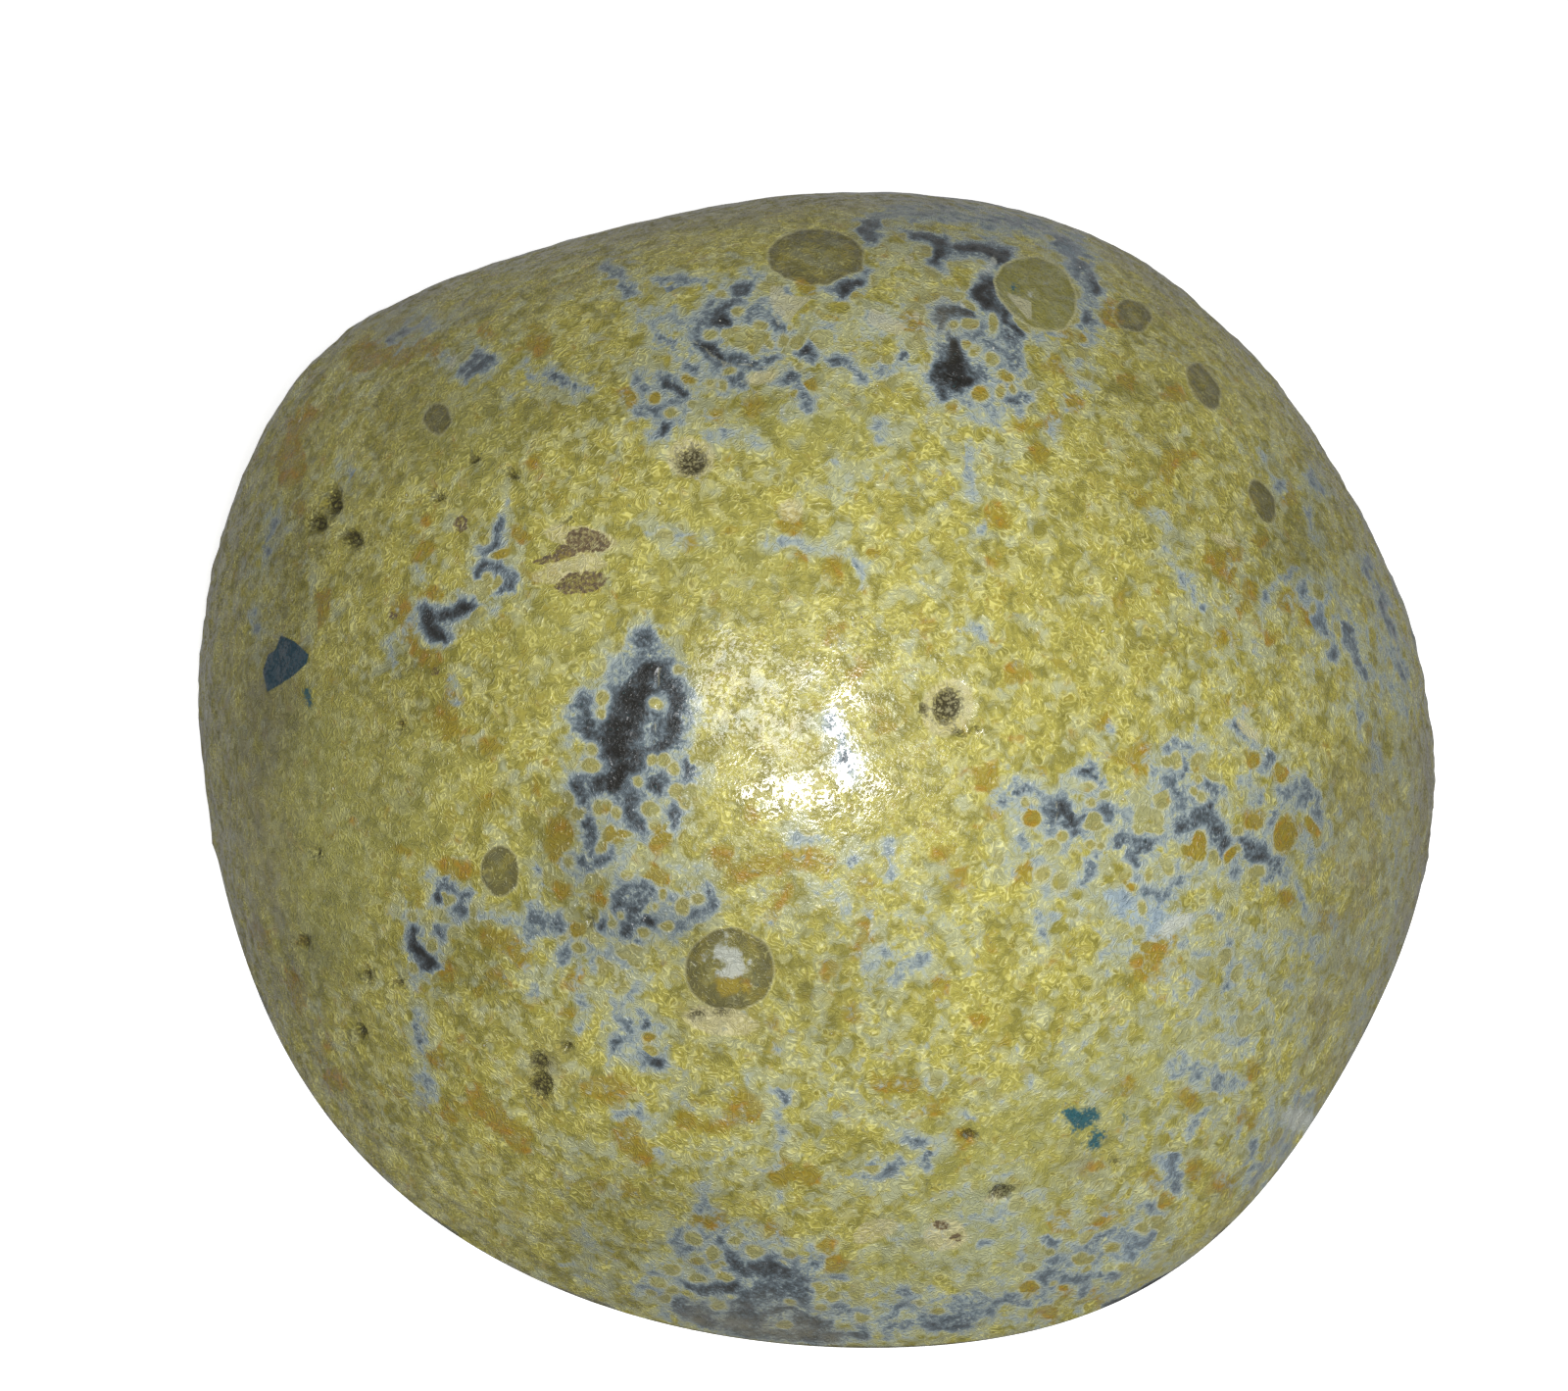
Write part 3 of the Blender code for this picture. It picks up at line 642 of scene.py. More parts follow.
# The whole pebble before it was sawn: the same sizes and swellings as the CAD solid.
pebble = {
    "halfWidth": 0.0503,
    "halfDepth": 0.0497,
    "halfHeight": 0.0500,
    "cutAboveMiddle": 0.0050,
    "leanBack": 0.15,
    # bearing, height in degrees, how far it stands out in metres, reach in degrees
    "swellings": (
        (0, 8, 0.0018, 26),
        (55, 22, 0.0011, 24),
        (80, 26, -0.0006, 24),
        (104, 26, -0.0024, 24),
        (126, 22, 0.0007, 18),
        (143, 18, 0.0033, 16),
        (163, 10, 0.0031, 22),
        (190, 5, -0.0006, 26),
        (248, 0, -0.0010, 26),
        (275, 0, -0.0010, 26),
        (302, 0, 0.0020, 24),
        (328, 2, -0.0008, 24),
    ),
}

stoneNet = {
    "squaresPerSide": 100,
    "detailFacing": 0.02,     # marks are refined where the rind faces the camera at least this much
    "detailAbove": -0.001,
    "weldDistance": 0.04 * mm,
    "cutRings": 10,
    "lastRing": 0.995,
}


def rindPlaces(directions):
    half = np.array([pebble["halfWidth"], pebble["halfDepth"], pebble["halfHeight"]])
    places = directions * half
    for bearing, height, rise, reach in pebble["swellings"]:
        turn, lift = math.radians(bearing), math.radians(height)
        flat = math.cos(lift)
        centre = np.array([flat * math.cos(turn), flat * math.sin(turn), math.sin(lift)])
        away = np.arccos(np.clip(directions @ centre, -1.0, 1.0)) / math.radians(reach)
        places += directions * (rise * np.exp(-away * away))[:, None]
    places[:, 2] -= pebble["cutAboveMiddle"]
    places[:, 1] += pebble["leanBack"] * places[:, 2]
    return places


def readPlaces(mesh):
    flat = np.empty(len(mesh.vertices) * 3, np.float32)
    mesh.vertices.foreach_get("co", flat)
    return flat.reshape(-1, 3).astype(np.float64)


def writePlaces(mesh, places):
    mesh.vertices.foreach_set("co", places.astype(np.float32).ravel())
    mesh.update()


def readNormals(mesh):
    flat = np.empty(len(mesh.vertices) * 3, np.float32)
    mesh.vertex_normals.foreach_get("vector", flat)
    return flat.reshape(-1, 3).astype(np.float64)


def unitRows(rows):
    return rows / np.linalg.norm(rows, axis=1, keepdims=True)


def allSilicaStrokes():
    return [stroke for group in silicaStrokes.values() for stroke in group]


def wantsDetail(photo, level):
    # level 1: the drawn marks and a little around them; level 2: their edges and the smallest of them
    strokes = allSilicaStrokes()
    if level == 1:
        near = (paintStrokes(photo, strokes, 12.0) > 0.12, insideSpots(photo, goldenSpots) > -6,
                insideSpots(photo, orbs) > -6, insidePolygon(photo, lensOrb) > -6,
                insideSpots(photo, pits) > -8, insideSpots(photo, buffPatches) > -8,
                insidePolygon(photo, tealFlake) > -8, paintStrokes(photo, tealStrokes, 8.0) > 0.05,
                lineDistance(photo, cracks) < 6)
    else:
        near = (paintStrokes(photo, [stroke for stroke in strokes if stroke[0] > 0.9], 4.0) > 0.3,
                np.abs(insideSpots(photo, goldenSpots)) < 3.0, np.abs(insideSpots(photo, orbs)) < 2.0,
                insideSpots(photo, pits) > -2, np.abs(insidePolygon(photo, tealFlake)) < 3,
                lineDistance(photo, cracks) < 2.5, insideSpots(photo, pinkPatches) > -2,
                paintStrokes(photo, tealStrokes, 3.0) > 0.2)
    return np.any(near, axis=0)


def refine(mesh, level):
    directions = unitRows(readPlaces(mesh))
    places = rindPlaces(directions)
    towards = np.sum(unitRows(np.array(cameraAxes()[0]) - places) * directions, axis=1)
    wanted = wantsDetail(photoPlaces(places), level)
    wanted &= (towards > stoneNet["detailFacing"]) & (places[:, 2] > stoneNet["detailAbove"])
    bm = bmesh.new()
    bm.from_mesh(mesh)
    edges = [edge for edge in bm.edges if wanted[edge.verts[0].index] and wanted[edge.verts[1].index]]
    bmesh.ops.subdivide_edges(bm, edges=edges, cuts=1, use_grid_fill=True, use_single_edge=True)
    bm.to_mesh(mesh)
    bm.free()


def closeSawnFace(bm):
    # rings that shrink from the rim to the middle, so that the bands can follow the outline
    inward = bm.verts.layers.float.new("inward")
    rim = [edge for edge in bm.edges if edge.is_boundary]
    for edge in rim:
        for vert in edge.verts:
            vert.co.z = 0.0
    for face in bm.faces:
        face.material_index = 0
        face.smooth = True
    rings = stoneNet["cutRings"]
    for ring in range(rings):
        grown = bmesh.ops.extrude_edge_only(bm, edges=rim)["geom"]
        before = ring / rings
        after = min(stoneNet["lastRing"], (ring + 1) / rings)
        for piece in grown:
            if isinstance(piece, bmesh.types.BMVert):
                piece.co *= (1.0 - after) / (1.0 - before)
                piece[inward] = after
            if isinstance(piece, bmesh.types.BMFace):
                piece.material_index = 1
        rim = [piece for piece in grown if isinstance(piece, bmesh.types.BMEdge) and piece.is_boundary]
    for face in bmesh.ops.edgeloop_fill(bm, edges=rim)["faces"]:
        face.material_index = 1


def makeStoneMesh():
    bm = bmesh.new()
    bmesh.ops.create_cube(bm, size=2.0)
    bmesh.ops.subdivide_edges(bm, edges=bm.edges[:], cuts=stoneNet["squaresPerSide"] - 1,
                              use_grid_fill=True)
    mesh = bpy.data.meshes.new("nodule")
    bm.to_mesh(mesh)
    bm.free()
    writePlaces(mesh, unitRows(np.tan(readPlaces(mesh) * math.pi / 4)))
    refine(mesh, 1)
    refine(mesh, 2)
    writePlaces(mesh, rindPlaces(unitRows(readPlaces(mesh))))

    bm = bmesh.new()
    bm.from_mesh(mesh)
    bmesh.ops.bisect_plane(bm, geom=bm.verts[:] + bm.edges[:] + bm.faces[:], dist=stoneNet["weldDistance"],
                           plane_co=(0, 0, 0), plane_no=(0, 0, -1), clear_outer=True)
    closeSawnFace(bm)
    bmesh.ops.recalc_face_normals(bm, faces=bm.faces[:])
    bm.to_mesh(mesh)
    bm.free()
    return mesh


stoneMesh = makeStoneMesh()
triangles = sum(len(face.vertices) - 2 for face in stoneMesh.polygons)
print("stone mesh:", len(stoneMesh.vertices), "points,", triangles, "triangles")


def chanceField(places, scale, shift, octaves, gain=0.7, finer=2.1):
    offset = Vector(shift)
    return np.array([noise.fractal(Vector(place) * (scale / mm) + offset, gain, finer, octaves)
                     for place in places])


# how drawn marks get uneven edges: size of the unevenness, how many pixels it moves them, seed
markEdges = {
    "loose": (2.2 * mm, 7.0, 3.3),
    "close": (0.8 * mm, 2.4, 8.1),
    "round": (1.2 * mm, 3.0, 5.2),
}
# marks of the far side, which the photograph hides: middle value, strength, waves per millimetre,
# seed, octaves, lowest and highest value
farSide = {
    "silica": (0.20, 0.95, 0.055, (3.1, 7.7, 1.3), 4, 0.02, 1.1),
    "stain": (0.0, 0.9, 0.16, (9.4, 2.2, 5.6), 3, 0.0, 1.0),
    "calm": (0.0, 1.0, 0.045, (1.7, 4.4, 8.2), 2, 0.0, 0.8),
}
farDust = 0.25
# how many pixels the edges of the drawn strokes take to fade
edgeFade = {
    "haze": 50.0,
    "silica": 20.0,
    "lighter": 5.0,
    "stain": 8.0,
    "calm": 40.0,
    "dustAndSheen": 30.0,
    "paintedShadeAndTone": 110.0,
    "azure": 14.0,
    "white": 7.0,
    "teal": 6.0,
}
leastHaze = 0.03


def paintStone(mesh):
    places = readPlaces(mesh)
    sight = unitRows(np.array(cameraAxes()[0]) - places)
    facing = np.sum(sight * readNormals(mesh), axis=1)
    facing[places[:, 2] < 1e-6] *= 0.5   # the rim of the sawn face
    seen = smoothStep(facing, 0.0, 0.12)
    unseen = 1 - seen
    photo = photoPlaces(places)
    loose, close, rounded = (waver(places, photo, *edge) for edge in markEdges.values())

    haze = np.maximum(paintStrokes(photo, hazeStrokes, edgeFade["haze"]), leastHaze)
    silica = np.maximum(paintStrokes(loose, allSilicaStrokes(), edgeFade["silica"], edgeShare=0.56), haze)
    silica -= paintStrokes(close, lighterStrokes, edgeFade["lighter"])
    fields = {"silica": silica * seen}
    for name, where, strokes in (
            ("stain", loose, stainStrokes), ("calm", photo, calmStrokes), ("dustAndSheen", loose, dustAndSheenStrokes),
            ("paintedShadeAndTone", photo, paintedShadeAndToneStrokes), ("azure", loose, azureStrokes), ("white", close, whiteStrokes),
            ("teal", close, tealStrokes)):
        fields[name] = paintStrokes(where, strokes, edgeFade[name]) * seen
    for name, (middle, strength, scale, shift, octaves, lowest, highest) in farSide.items():
        values = middle + strength * chanceField(places[unseen > 0.0], scale, shift, octaves)
        fields[name][unseen > 0.0] += np.clip(values, lowest, highest) * unseen[unseen > 0.0]
    fields["dustAndSheen"] += farDust * unseen

    shapes = {
        "golden": insideSpots(close, goldenSpots),
        "orb": insideSpots(rounded, orbs),
        "lens": insidePolygon(photo, lensOrb),
        "pit": insideSpots(close, pits),
        "buff": insideSpots(close, buffPatches),
        "pink": insideSpots(close, pinkPatches),
        "flake": insidePolygon(photo, tealFlake),
        "chip": np.max([insidePolygon(photo, chip) for chip in creamChips], axis=0),
        "crack": -lineDistance(close, cracks),
    }
    for name, inside in shapes.items():
        fields[name] = np.where(seen > 0.05, inside, -farAway)
    for name, values in fields.items():
        layer = mesh.attributes.new(name, "FLOAT", "POINT")
        layer.data.foreach_set("value", values.astype(np.float32))
    return fields


relief = {
    # from and to how many pixels inside a mark the height changes, and by how much
    "marks": {
        "pit": (-1.0, 6.0, -0.45 * mm),
        "buff": (-1.0, 2.0, -0.10 * mm),
        "crack": (-1.6, 0.0, -0.14 * mm),
        "flake": (-1.0, 1.0, 0.06 * mm),
    },
    # waves per millimetre, height
    "waves": ((0.11, 0.16 * mm), (0.42, 0.04 * mm), (1.3, 0.012 * mm)),
    "rougherWaves": ((0.24, 0.20 * mm), (0.60, 0.14 * mm)),  # low on the stone, where it is less worn
    "pitWaves": (2.2, 0.16 * mm),
    "wornFrom": 0.010,
    "wornAbove": 0.034,
    "rimFade": 0.6 * mm,
}


def carveStone(mesh, fields):
    places = readPlaces(mesh)
    height = np.zeros(len(places))
    for index, (scale, rise) in enumerate(relief["waves"]):
        height += rise * chanceField(places, scale, (index * 5.0, 2.0, 7.0), 2)
    unworn = 1.0 - smoothStep(places[:, 2], relief["wornFrom"], relief["wornAbove"])
    for scale, rise in relief["rougherWaves"]:
        height += unworn * rise * chanceField(places, scale, (3.0, 1.0, 9.0), 2)
    for name, (low, high, rise) in relief["marks"].items():
        share = smoothStep(fields[name], low, high)
        height += share * rise
        if name == "pit":
            scale, rise = relief["pitWaves"]
            height += share * rise * chanceField(places, scale, (4.0, 4.0, 1.0), 2)
    height *= smoothStep(places[:, 2], 0.0, relief["rimFade"])
    writePlaces(mesh, places + readNormals(mesh) * height[:, None])


paintedFields = paintStone(stoneMesh)
print("markings painted")
carveStone(stoneMesh, paintedFields)
print("relief carved")


# Materials. Colours are linear, and the textures work in millimetres.
rindLook = {
    "olive": (0.250, 0.228, 0.042),
    "yellow": (0.475, 0.432, 0.088),
    "green": (0.330, 0.330, 0.098),
    "cream": (0.700, 0.665, 0.245),
    "ochre": (0.305, 0.228, 0.018),
    "rust": (0.360, 0.205, 0.014),
    "golden": (0.285, 0.238, 0.034),
    "veil": (0.430, 0.475, 0.340),
    "pale": (0.620, 0.610, 0.290),
    "rim": (0.520, 0.500, 0.260),
    "orb": (0.120, 0.108, 0.040),
    "lens": (0.225, 0.212, 0.050),
    "buff": (0.600, 0.550, 0.290),
    "pink": (0.150, 0.105, 0.052),
    "pit": (0.045, 0.037, 0.014),
    "teal": (0.025, 0.110, 0.130),
    "flake": (0.018, 0.068, 0.098),
    "chip": (0.520, 0.505, 0.340),
    # dust, and the painted grey sheen along the outline
    "dustAndSheen": (0.270, 0.250, 0.165),
    "azure": (0.350, 0.450, 0.520),
    "white": (0.540, 0.570, 0.500),
    "glint": (0.850, 0.850, 0.780),
}
silicaRamp = (
    (0.25, (0.410, 0.430, 0.260)),
    (0.40, (0.385, 0.430, 0.350)),
    (0.50, (0.280, 0.335, 0.335)),
    (0.62, (0.150, 0.190, 0.215)),
    (0.78, (0.088, 0.110, 0.123)),
    (0.98, (0.045, 0.050, 0.052)),
    (1.25, (0.014, 0.013, 0.010)),
)


def addNode(tree, kind, **settings):
    node = tree.nodes.new(kind)
    for name, value in settings.items():
        setattr(node, name, value)
    return node


def plug(tree, node, socket, value):
    if isinstance(value, bpy.types.NodeSocket):
        tree.links.new(value, node.inputs[socket])
    else:
        node.inputs[socket].default_value = value


def maths(tree, operation, first, second=0.0, third=0.0, clamp=False):
    node = addNode(tree, "ShaderNodeMath", operation=operation, use_clamp=clamp)
    for socket, value in enumerate((first, second, third)):
        plug(tree, node, socket, value)
    return node.outputs[0]


def rescale(tree, value, low, high, toLow=0.0, toHigh=1.0, smooth=True):
    node = addNode(tree, "ShaderNodeMapRange", interpolation_type="SMOOTHSTEP" if smooth else "LINEAR")
    for socket, number in zip(("Value", "From Min", "From Max", "To Min", "To Max"),
                              (value, low, high, toLow, toHigh)):
        plug(tree, node, socket, number)
    return node.outputs["Result"]


def blendColour(tree, share, under, over):
    node = addNode(tree, "ShaderNodeMix", data_type="RGBA", blend_type="MIX", clamp_factor=True)
    plug(tree, node, 0, share)
    for socket, value in ((6, under), (7, over)):
        plug(tree, node, socket, value if isinstance(value, bpy.types.NodeSocket) else (*value, 1.0))
    return node.outputs[2]


def scaled(tree, colour, factor):
    node = addNode(tree, "ShaderNodeVectorMath", operation="SCALE")
    plug(tree, node, 0, colour)
    plug(tree, node, "Scale", factor)
    return node.outputs[0]


def noiseAt(tree, vector, scale, detail=2.0, roughness=0.5):
    node = addNode(tree, "ShaderNodeTexNoise", noise_dimensions="3D")
    plug(tree, node, "Vector", vector)
    plug(tree, node, "Scale", scale)
    plug(tree, node, "Detail", detail)
    plug(tree, node, "Roughness", roughness)
    return node


def cellsAt(tree, vector, scale):
    node = addNode(tree, "ShaderNodeTexVoronoi", voronoi_dimensions="3D", feature="F1")
    plug(tree, node, "Vector", vector)
    plug(tree, node, "Scale", scale)
    return node


def shifted(tree, vector, shift, scale=(1.0, 1.0, 1.0), turn=(0.0, 0.0, 0.0)):
    node = addNode(tree, "ShaderNodeMapping")
    plug(tree, node, "Vector", vector)
    node.inputs["Location"].default_value = shift
    node.inputs["Rotation"].default_value = turn
    node.inputs["Scale"].default_value = scale
    return node.outputs["Vector"]


def painted(tree, name):
    return addNode(tree, "ShaderNodeAttribute", attribute_name=name).outputs["Fac"]


def parts(tree, colour):
    node = addNode(tree, "ShaderNodeSeparateColor")
    plug(tree, node, 0, colour)
    return node.outputs[0], node.outputs[1], node.outputs[2]


def swing(tree, value, amount):
    # a noise moved to lie about zero
    return maths(tree, "MULTIPLY_ADD", value, amount, -0.5 * amount)


def chain(tree, operation, values):
    result = values[0]
    for value in values[1:]:
        result = maths(tree, operation, result, value)
    return result


def plus(tree, *values):
    return chain(tree, "ADD", values)


def times(tree, *values):
    return chain(tree, "MULTIPLY", values)


def largest(tree, *values):
    return chain(tree, "MAXIMUM", values)


def less(tree, first, second):
    return maths(tree, "SUBTRACT", first, second)


def layered(tree, colour, *layers):
    # each layer is how much of it shows, and its colour
    for share, tone in layers:
        colour = blendColour(tree, share, colour, tone)
    return colour


def colourRamp(tree, value, stops):
    # stops are (position, colour), in rising order
    node = addNode(tree, "ShaderNodeValToRGB")
    low, high = stops[0][0], stops[-1][0]
    elements = node.color_ramp.elements
    elements[0].color = (*stops[0][1], 1.0)
    elements[1].color = (*stops[-1][1], 1.0)
    for position, colour in stops[1:-1]:
        elements.new((position - low) / (high - low)).color = (*colour, 1.0)
    plug(tree, node, 0, rescale(tree, value, low, high, smooth=False))
    return node.outputs["Color"]


rindTexture = {
    "turn": (0.55, 0.75, 0.35),   # askew, so that the grid of the noises does not show
    # noises: waves per millimetre, detail, roughness
    "bend": (0.9, 1.0, 0.5),
    "broad": (0.48, 3.0, 0.55),
    "grain": (3.4, 1.0, 0.6),
    "curls": (0.85, 1.0, 0.5),
    "mottle": (1.0, 1.5, 0.5),
    "ringCells": 0.85,
    "spotCells": 0.52,
    "curlLines": 10.0,
}
# the most that each tone or mark covers what lies under it
rindCover = {
    "golden": 0.42,
    "pale": 0.47,
    "calm": 0.75,
    "veil": 0.48,
    "stain": 0.60,
    "ringFill": 0.55,
    "groove": 0.72,
    "curl": 0.95,
    "ring": 0.62,
    "azure": 0.60,
    "island": 0.60,
    "islandRim": 0.55,
    "glint": 0.80,
    "orbRim": 0.35,
    "lensRim": 0.60,
    "white": 0.85,
    "chip": 0.65,
    "crack": 0.35,
}
rindGloss = {
    # from dull to glassy
    "roughness": (0.42, 0.24),
    "coat": (0.06, 0.90),
    "dryRoughness": 0.25,
    "specular": 0.35,
    "coatRoughness": 0.10,
    # strength, depth
    "bump": (0.70, 0.08 * mm),
    "coatBump": (0.50, 0.02 * mm),
}


def makeRindMaterial():
    material = bpy.data.materials.new("agateRind")
    material.use_nodes = True
    tree = material.node_tree
    shader = tree.nodes["Principled BSDF"]
    look, texture, cover, gloss = rindLook, rindTexture, rindCover, rindGloss

    local = addNode(tree, "ShaderNodeTexCoord").outputs["Object"]
    inMm = shifted(tree, local, (0.0, 0.0, 0.0), (1.0 / mm,) * 3, texture["turn"])
    bent = addNode(tree, "ShaderNodeVectorMath", operation="ADD")
    plug(tree, bent, 0, noiseAt(tree, inMm, *texture["bend"]).outputs["Color"])
    plug(tree, bent, 1, inMm)
    curved = bent.outputs[0]

    broad = noiseAt(tree, curved, *texture["broad"])
    edges, rust, tone = parts(tree, broad.outputs["Color"])
    grain = noiseAt(tree, inMm, *texture["grain"]).outputs["Fac"]
    curlNoise = noiseAt(tree, shifted(tree, curved, (12.0, 3.0, 4.0)), *texture["curls"]).outputs["Fac"]
    mottling = noiseAt(tree, shifted(tree, curved, (2.0, 9.0, 5.0)), *texture["mottle"])
    mottle, sheen, drift = parts(tree, mottling.outputs["Color"])
    rings = cellsAt(tree, curved, texture["ringCells"])
    spots = cellsAt(tree, shifted(tree, inMm, (8.0, 1.0, 6.0)), texture["spotCells"])
    silica, stain, calm = painted(tree, "silica"), painted(tree, "stain"), painted(tree, "calm")

    # wrinkles: level lines of a noise, which close into curls and loops; and small rings
    wave = maths(tree, "PINGPONG", times(tree, curlNoise, texture["curlLines"]), 0.5)
    curl = rescale(tree, wave, 0.25, 0.48)
    groove = rescale(tree, wave, 0.0, 0.16, 1.0, 0.0)
    ringChance, ringSize, ringTone = parts(tree, rings.outputs["Color"])
    ringPresent = rescale(tree, ringChance, 0.38, 0.46)
    ringRadius = rescale(tree, ringSize, 0.0, 1.0, 0.20, 0.40)
    ringReach = maths(tree, "DIVIDE", rings.outputs["Distance"], ringRadius)
    ringAway = maths(tree, "ABSOLUTE", less(tree, ringReach, 0.8))
    ringRim = times(tree, rescale(tree, ringAway, 0.05, 0.25, 1.0, 0.0), ringPresent)
    ringCore = times(tree, rescale(tree, ringReach, 0.10, 0.30, 1.0, 0.0), ringPresent)
    ringFill = times(tree, rescale(tree, ringReach, 0.5, 0.75, 1.0, 0.0), ringPresent)
    wrinkled = maths(tree, "SUBTRACT", 1.0, times(tree, calm, 0.78), clamp=True)
    patchy = times(tree, rescale(tree, tone, 0.42, 0.57, 0.18, 1.0), wrinkled)

    # yellow-green ground
    hue = plus(tree, times(tree, tone, 0.5), times(tree, mottle, 0.5), swing(tree, grain, 0.2))
    wisp = plus(tree, times(tree, drift, 0.6), times(tree, edges, 0.4))
    veil = times(tree, plus(tree, swing(tree, sheen, 0.8), swing(tree, edges, 1.1)), wrinkled)
    veil = plus(tree, silica, veil)
    stainDepth = plus(tree, stain, swing(tree, rust, 1.1), swing(tree, mottle, 1.0))
    stainShare = rescale(tree, stainDepth, 0.12, 0.50)
    ochre = blendColour(tree, rescale(tree, drift, 0.50, 0.70), look["ochre"], look["rust"])
    ground = layered(
        tree, look["olive"],
        (rescale(tree, hue, 0.38, 0.60), look["yellow"]),
        (rescale(tree, mottle, 0.53, 0.61, 0.0, cover["golden"]), look["golden"]),
        (rescale(tree, wisp, 0.50, 0.59, 0.0, cover["pale"]), look["pale"]),
        (times(tree, calm, cover["calm"]), look["green"]),
        (rescale(tree, veil, 0.10, 0.34, 0.0, cover["veil"]), look["veil"]),
        (times(tree, stainShare, cover["stain"]), ochre),
        (times(tree, ringFill, cover["ringFill"]), look["golden"]))
    grooveShare = times(tree, groove, patchy, cover["groove"])
    ground = blendColour(tree, grooveShare, ground, scaled(tree, ground, 0.55))
    curlTone = blendColour(tree, 0.5, scaled(tree, ground, 1.5), look["cream"])
    pale = largest(tree, times(tree, curl, patchy, cover["curl"]),
                   times(tree, largest(tree, ringRim, ringCore), cover["ring"]))
    rusty = rescale(tree, plus(tree, drift, swing(tree, grain, 0.4)), 0.36, 0.58, 0.35, 0.85)
    ground = layered(tree, ground, (pale, curlTone), (times(tree, stainShare, rusty), ochre))

    # golden spots floating in the silica: the drawn ones, and others by chance that shrink as it deepens
    spotChance, spotSize = parts(tree, spots.outputs["Color"])[:2]
    spotRadius = plus(tree, rescale(tree, silica, 0.35, 0.78, 0.40, -0.05, smooth=False),
                      swing(tree, spotSize, 0.3))
    spotInside = times(tree, less(tree, spotRadius, spots.outputs["Distance"]), 24.0)
    spotInside = less(tree, spotInside, rescale(tree, spotChance, 0.55, 0.60, 0.0, farAway))
    island = plus(tree, largest(tree, painted(tree, "golden"), spotInside), swing(tree, grain, 3.0))
    islandShare = rescale(tree, island, -1.5, 1.0)
    islandRim = rescale(tree, maths(tree, "ABSOLUTE", plus(tree, island, 0.6)), 0.3, 1.5, 1.0, 0.0)
    nearIsland = rescale(tree, island, -8.0, -1.0)

    # clear silica: pale at its edge, then blue-grey, then black where it is deep
    detail = plus(tree, swing(tree, grain, 0.85), times(tree, groove, 0.14))
    detail = times(tree, detail, rescale(tree, silica, 0.30, 0.80, 0.25, 1.0))
    depth = plus(tree, silica, swing(tree, edges, 0.7), swing(tree, mottle, 0.7), detail)
    tooDeep = largest(tree, less(tree, depth, 0.42), 0.0)
    depth = less(tree, depth, times(tree, nearIsland, tooDeep, 0.7))
    silicaShare = times(tree, rescale(tree, depth, 0.22, 0.46), less(tree, 1.0, islandShare))
    clear = blendColour(tree, times(tree, painted(tree, "azure"), cover["azure"]),
                        colourRamp(tree, depth, silicaRamp), look["azure"])
    inPatch = rescale(tree, silica, 0.22, 0.42)
    gold = blendColour(tree, rescale(tree, curlNoise, 0.42, 0.58), look["golden"], look["olive"])
    gold = blendColour(tree, stainShare, gold, ochre)
    sparkle = times(tree, ringCore, rescale(tree, ringTone, 0.72, 0.76))
    colour = layered(
        tree, ground,
        (times(tree, inPatch, islandShare, cover["island"]), gold),
        (silicaShare, clear),
        (times(tree, islandRim, inPatch, cover["islandRim"]), look["rim"]),
        (times(tree, sparkle, cover["glint"]), look["glint"]))

    # dust and the painted grey sheen along the outline, orbs, pale crust, chips, dry patches, pits, teal
    # and cracks
    dustAndSheen = times(tree, painted(tree, "dustAndSheen"), rescale(tree, rust, 0.35, 0.60, 0.35, 0.9))
    inOrb, inLens = painted(tree, "orb"), painted(tree, "lens")
    orb = times(tree, rescale(tree, inOrb, -0.8, 0.8), rescale(tree, inOrb, 4.0, 22.0, 1.0, 0.75),
                rescale(tree, curl, 0.0, 1.0, 0.92, 0.72))
    orbTone = layered(tree, look["orb"], (rescale(tree, mottle, 0.45, 0.68, 0.0, 0.5), look["golden"]),
                      (rescale(tree, stainDepth, 0.20, 0.70), ochre))
    lens = times(tree, rescale(tree, inLens, -0.8, 0.8), rescale(tree, sheen, 0.35, 0.6, 0.95, 0.75))
    orbRim = rescale(tree, maths(tree, "ABSOLUTE", inOrb), 0.5, 2.2, cover["orbRim"], 0.0)
    lensRim = rescale(tree, maths(tree, "ABSOLUTE", inLens), 0.5, 2.2, cover["lensRim"], 0.0)
    white = plus(tree, painted(tree, "white"), swing(tree, mottle, 1.0), swing(tree, grain, 0.8))
    chip = rescale(tree, painted(tree, "chip"), -0.8, 0.8)
    buff = rescale(tree, plus(tree, painted(tree, "buff"), swing(tree, edges, 10.0)), -2.0, 2.5)
    crust = rescale(tree, plus(tree, grain, times(tree, curl, 0.3)), 0.38, 0.75, 0.40, 0.95)
    dryTone = blendColour(tree, times(tree, groove, 0.55), look["buff"], look["pink"])
    pink = rescale(tree, plus(tree, painted(tree, "pink"), swing(tree, grain, 6.0)), -1.0, 1.0)
    pinkDots = rescale(tree, plus(tree, grain, times(tree, groove, 0.15)), 0.38, 0.62, 0.45, 1.0)
    pit = rescale(tree, plus(tree, painted(tree, "pit"), swing(tree, grain, 28.0)), -2.0, 4.0)
    pitSpecks = rescale(tree, grain, 0.42, 0.66, 0.98, 0.50)
    teal = rescale(tree, plus(tree, painted(tree, "teal"), swing(tree, grain, 1.6)), 0.15, 0.95)
    flake = rescale(tree, painted(tree, "flake"), -0.8, 0.8)
    crack = rescale(tree, plus(tree, painted(tree, "crack"), swing(tree, edges, 3.0)), -1.6, -0.4)
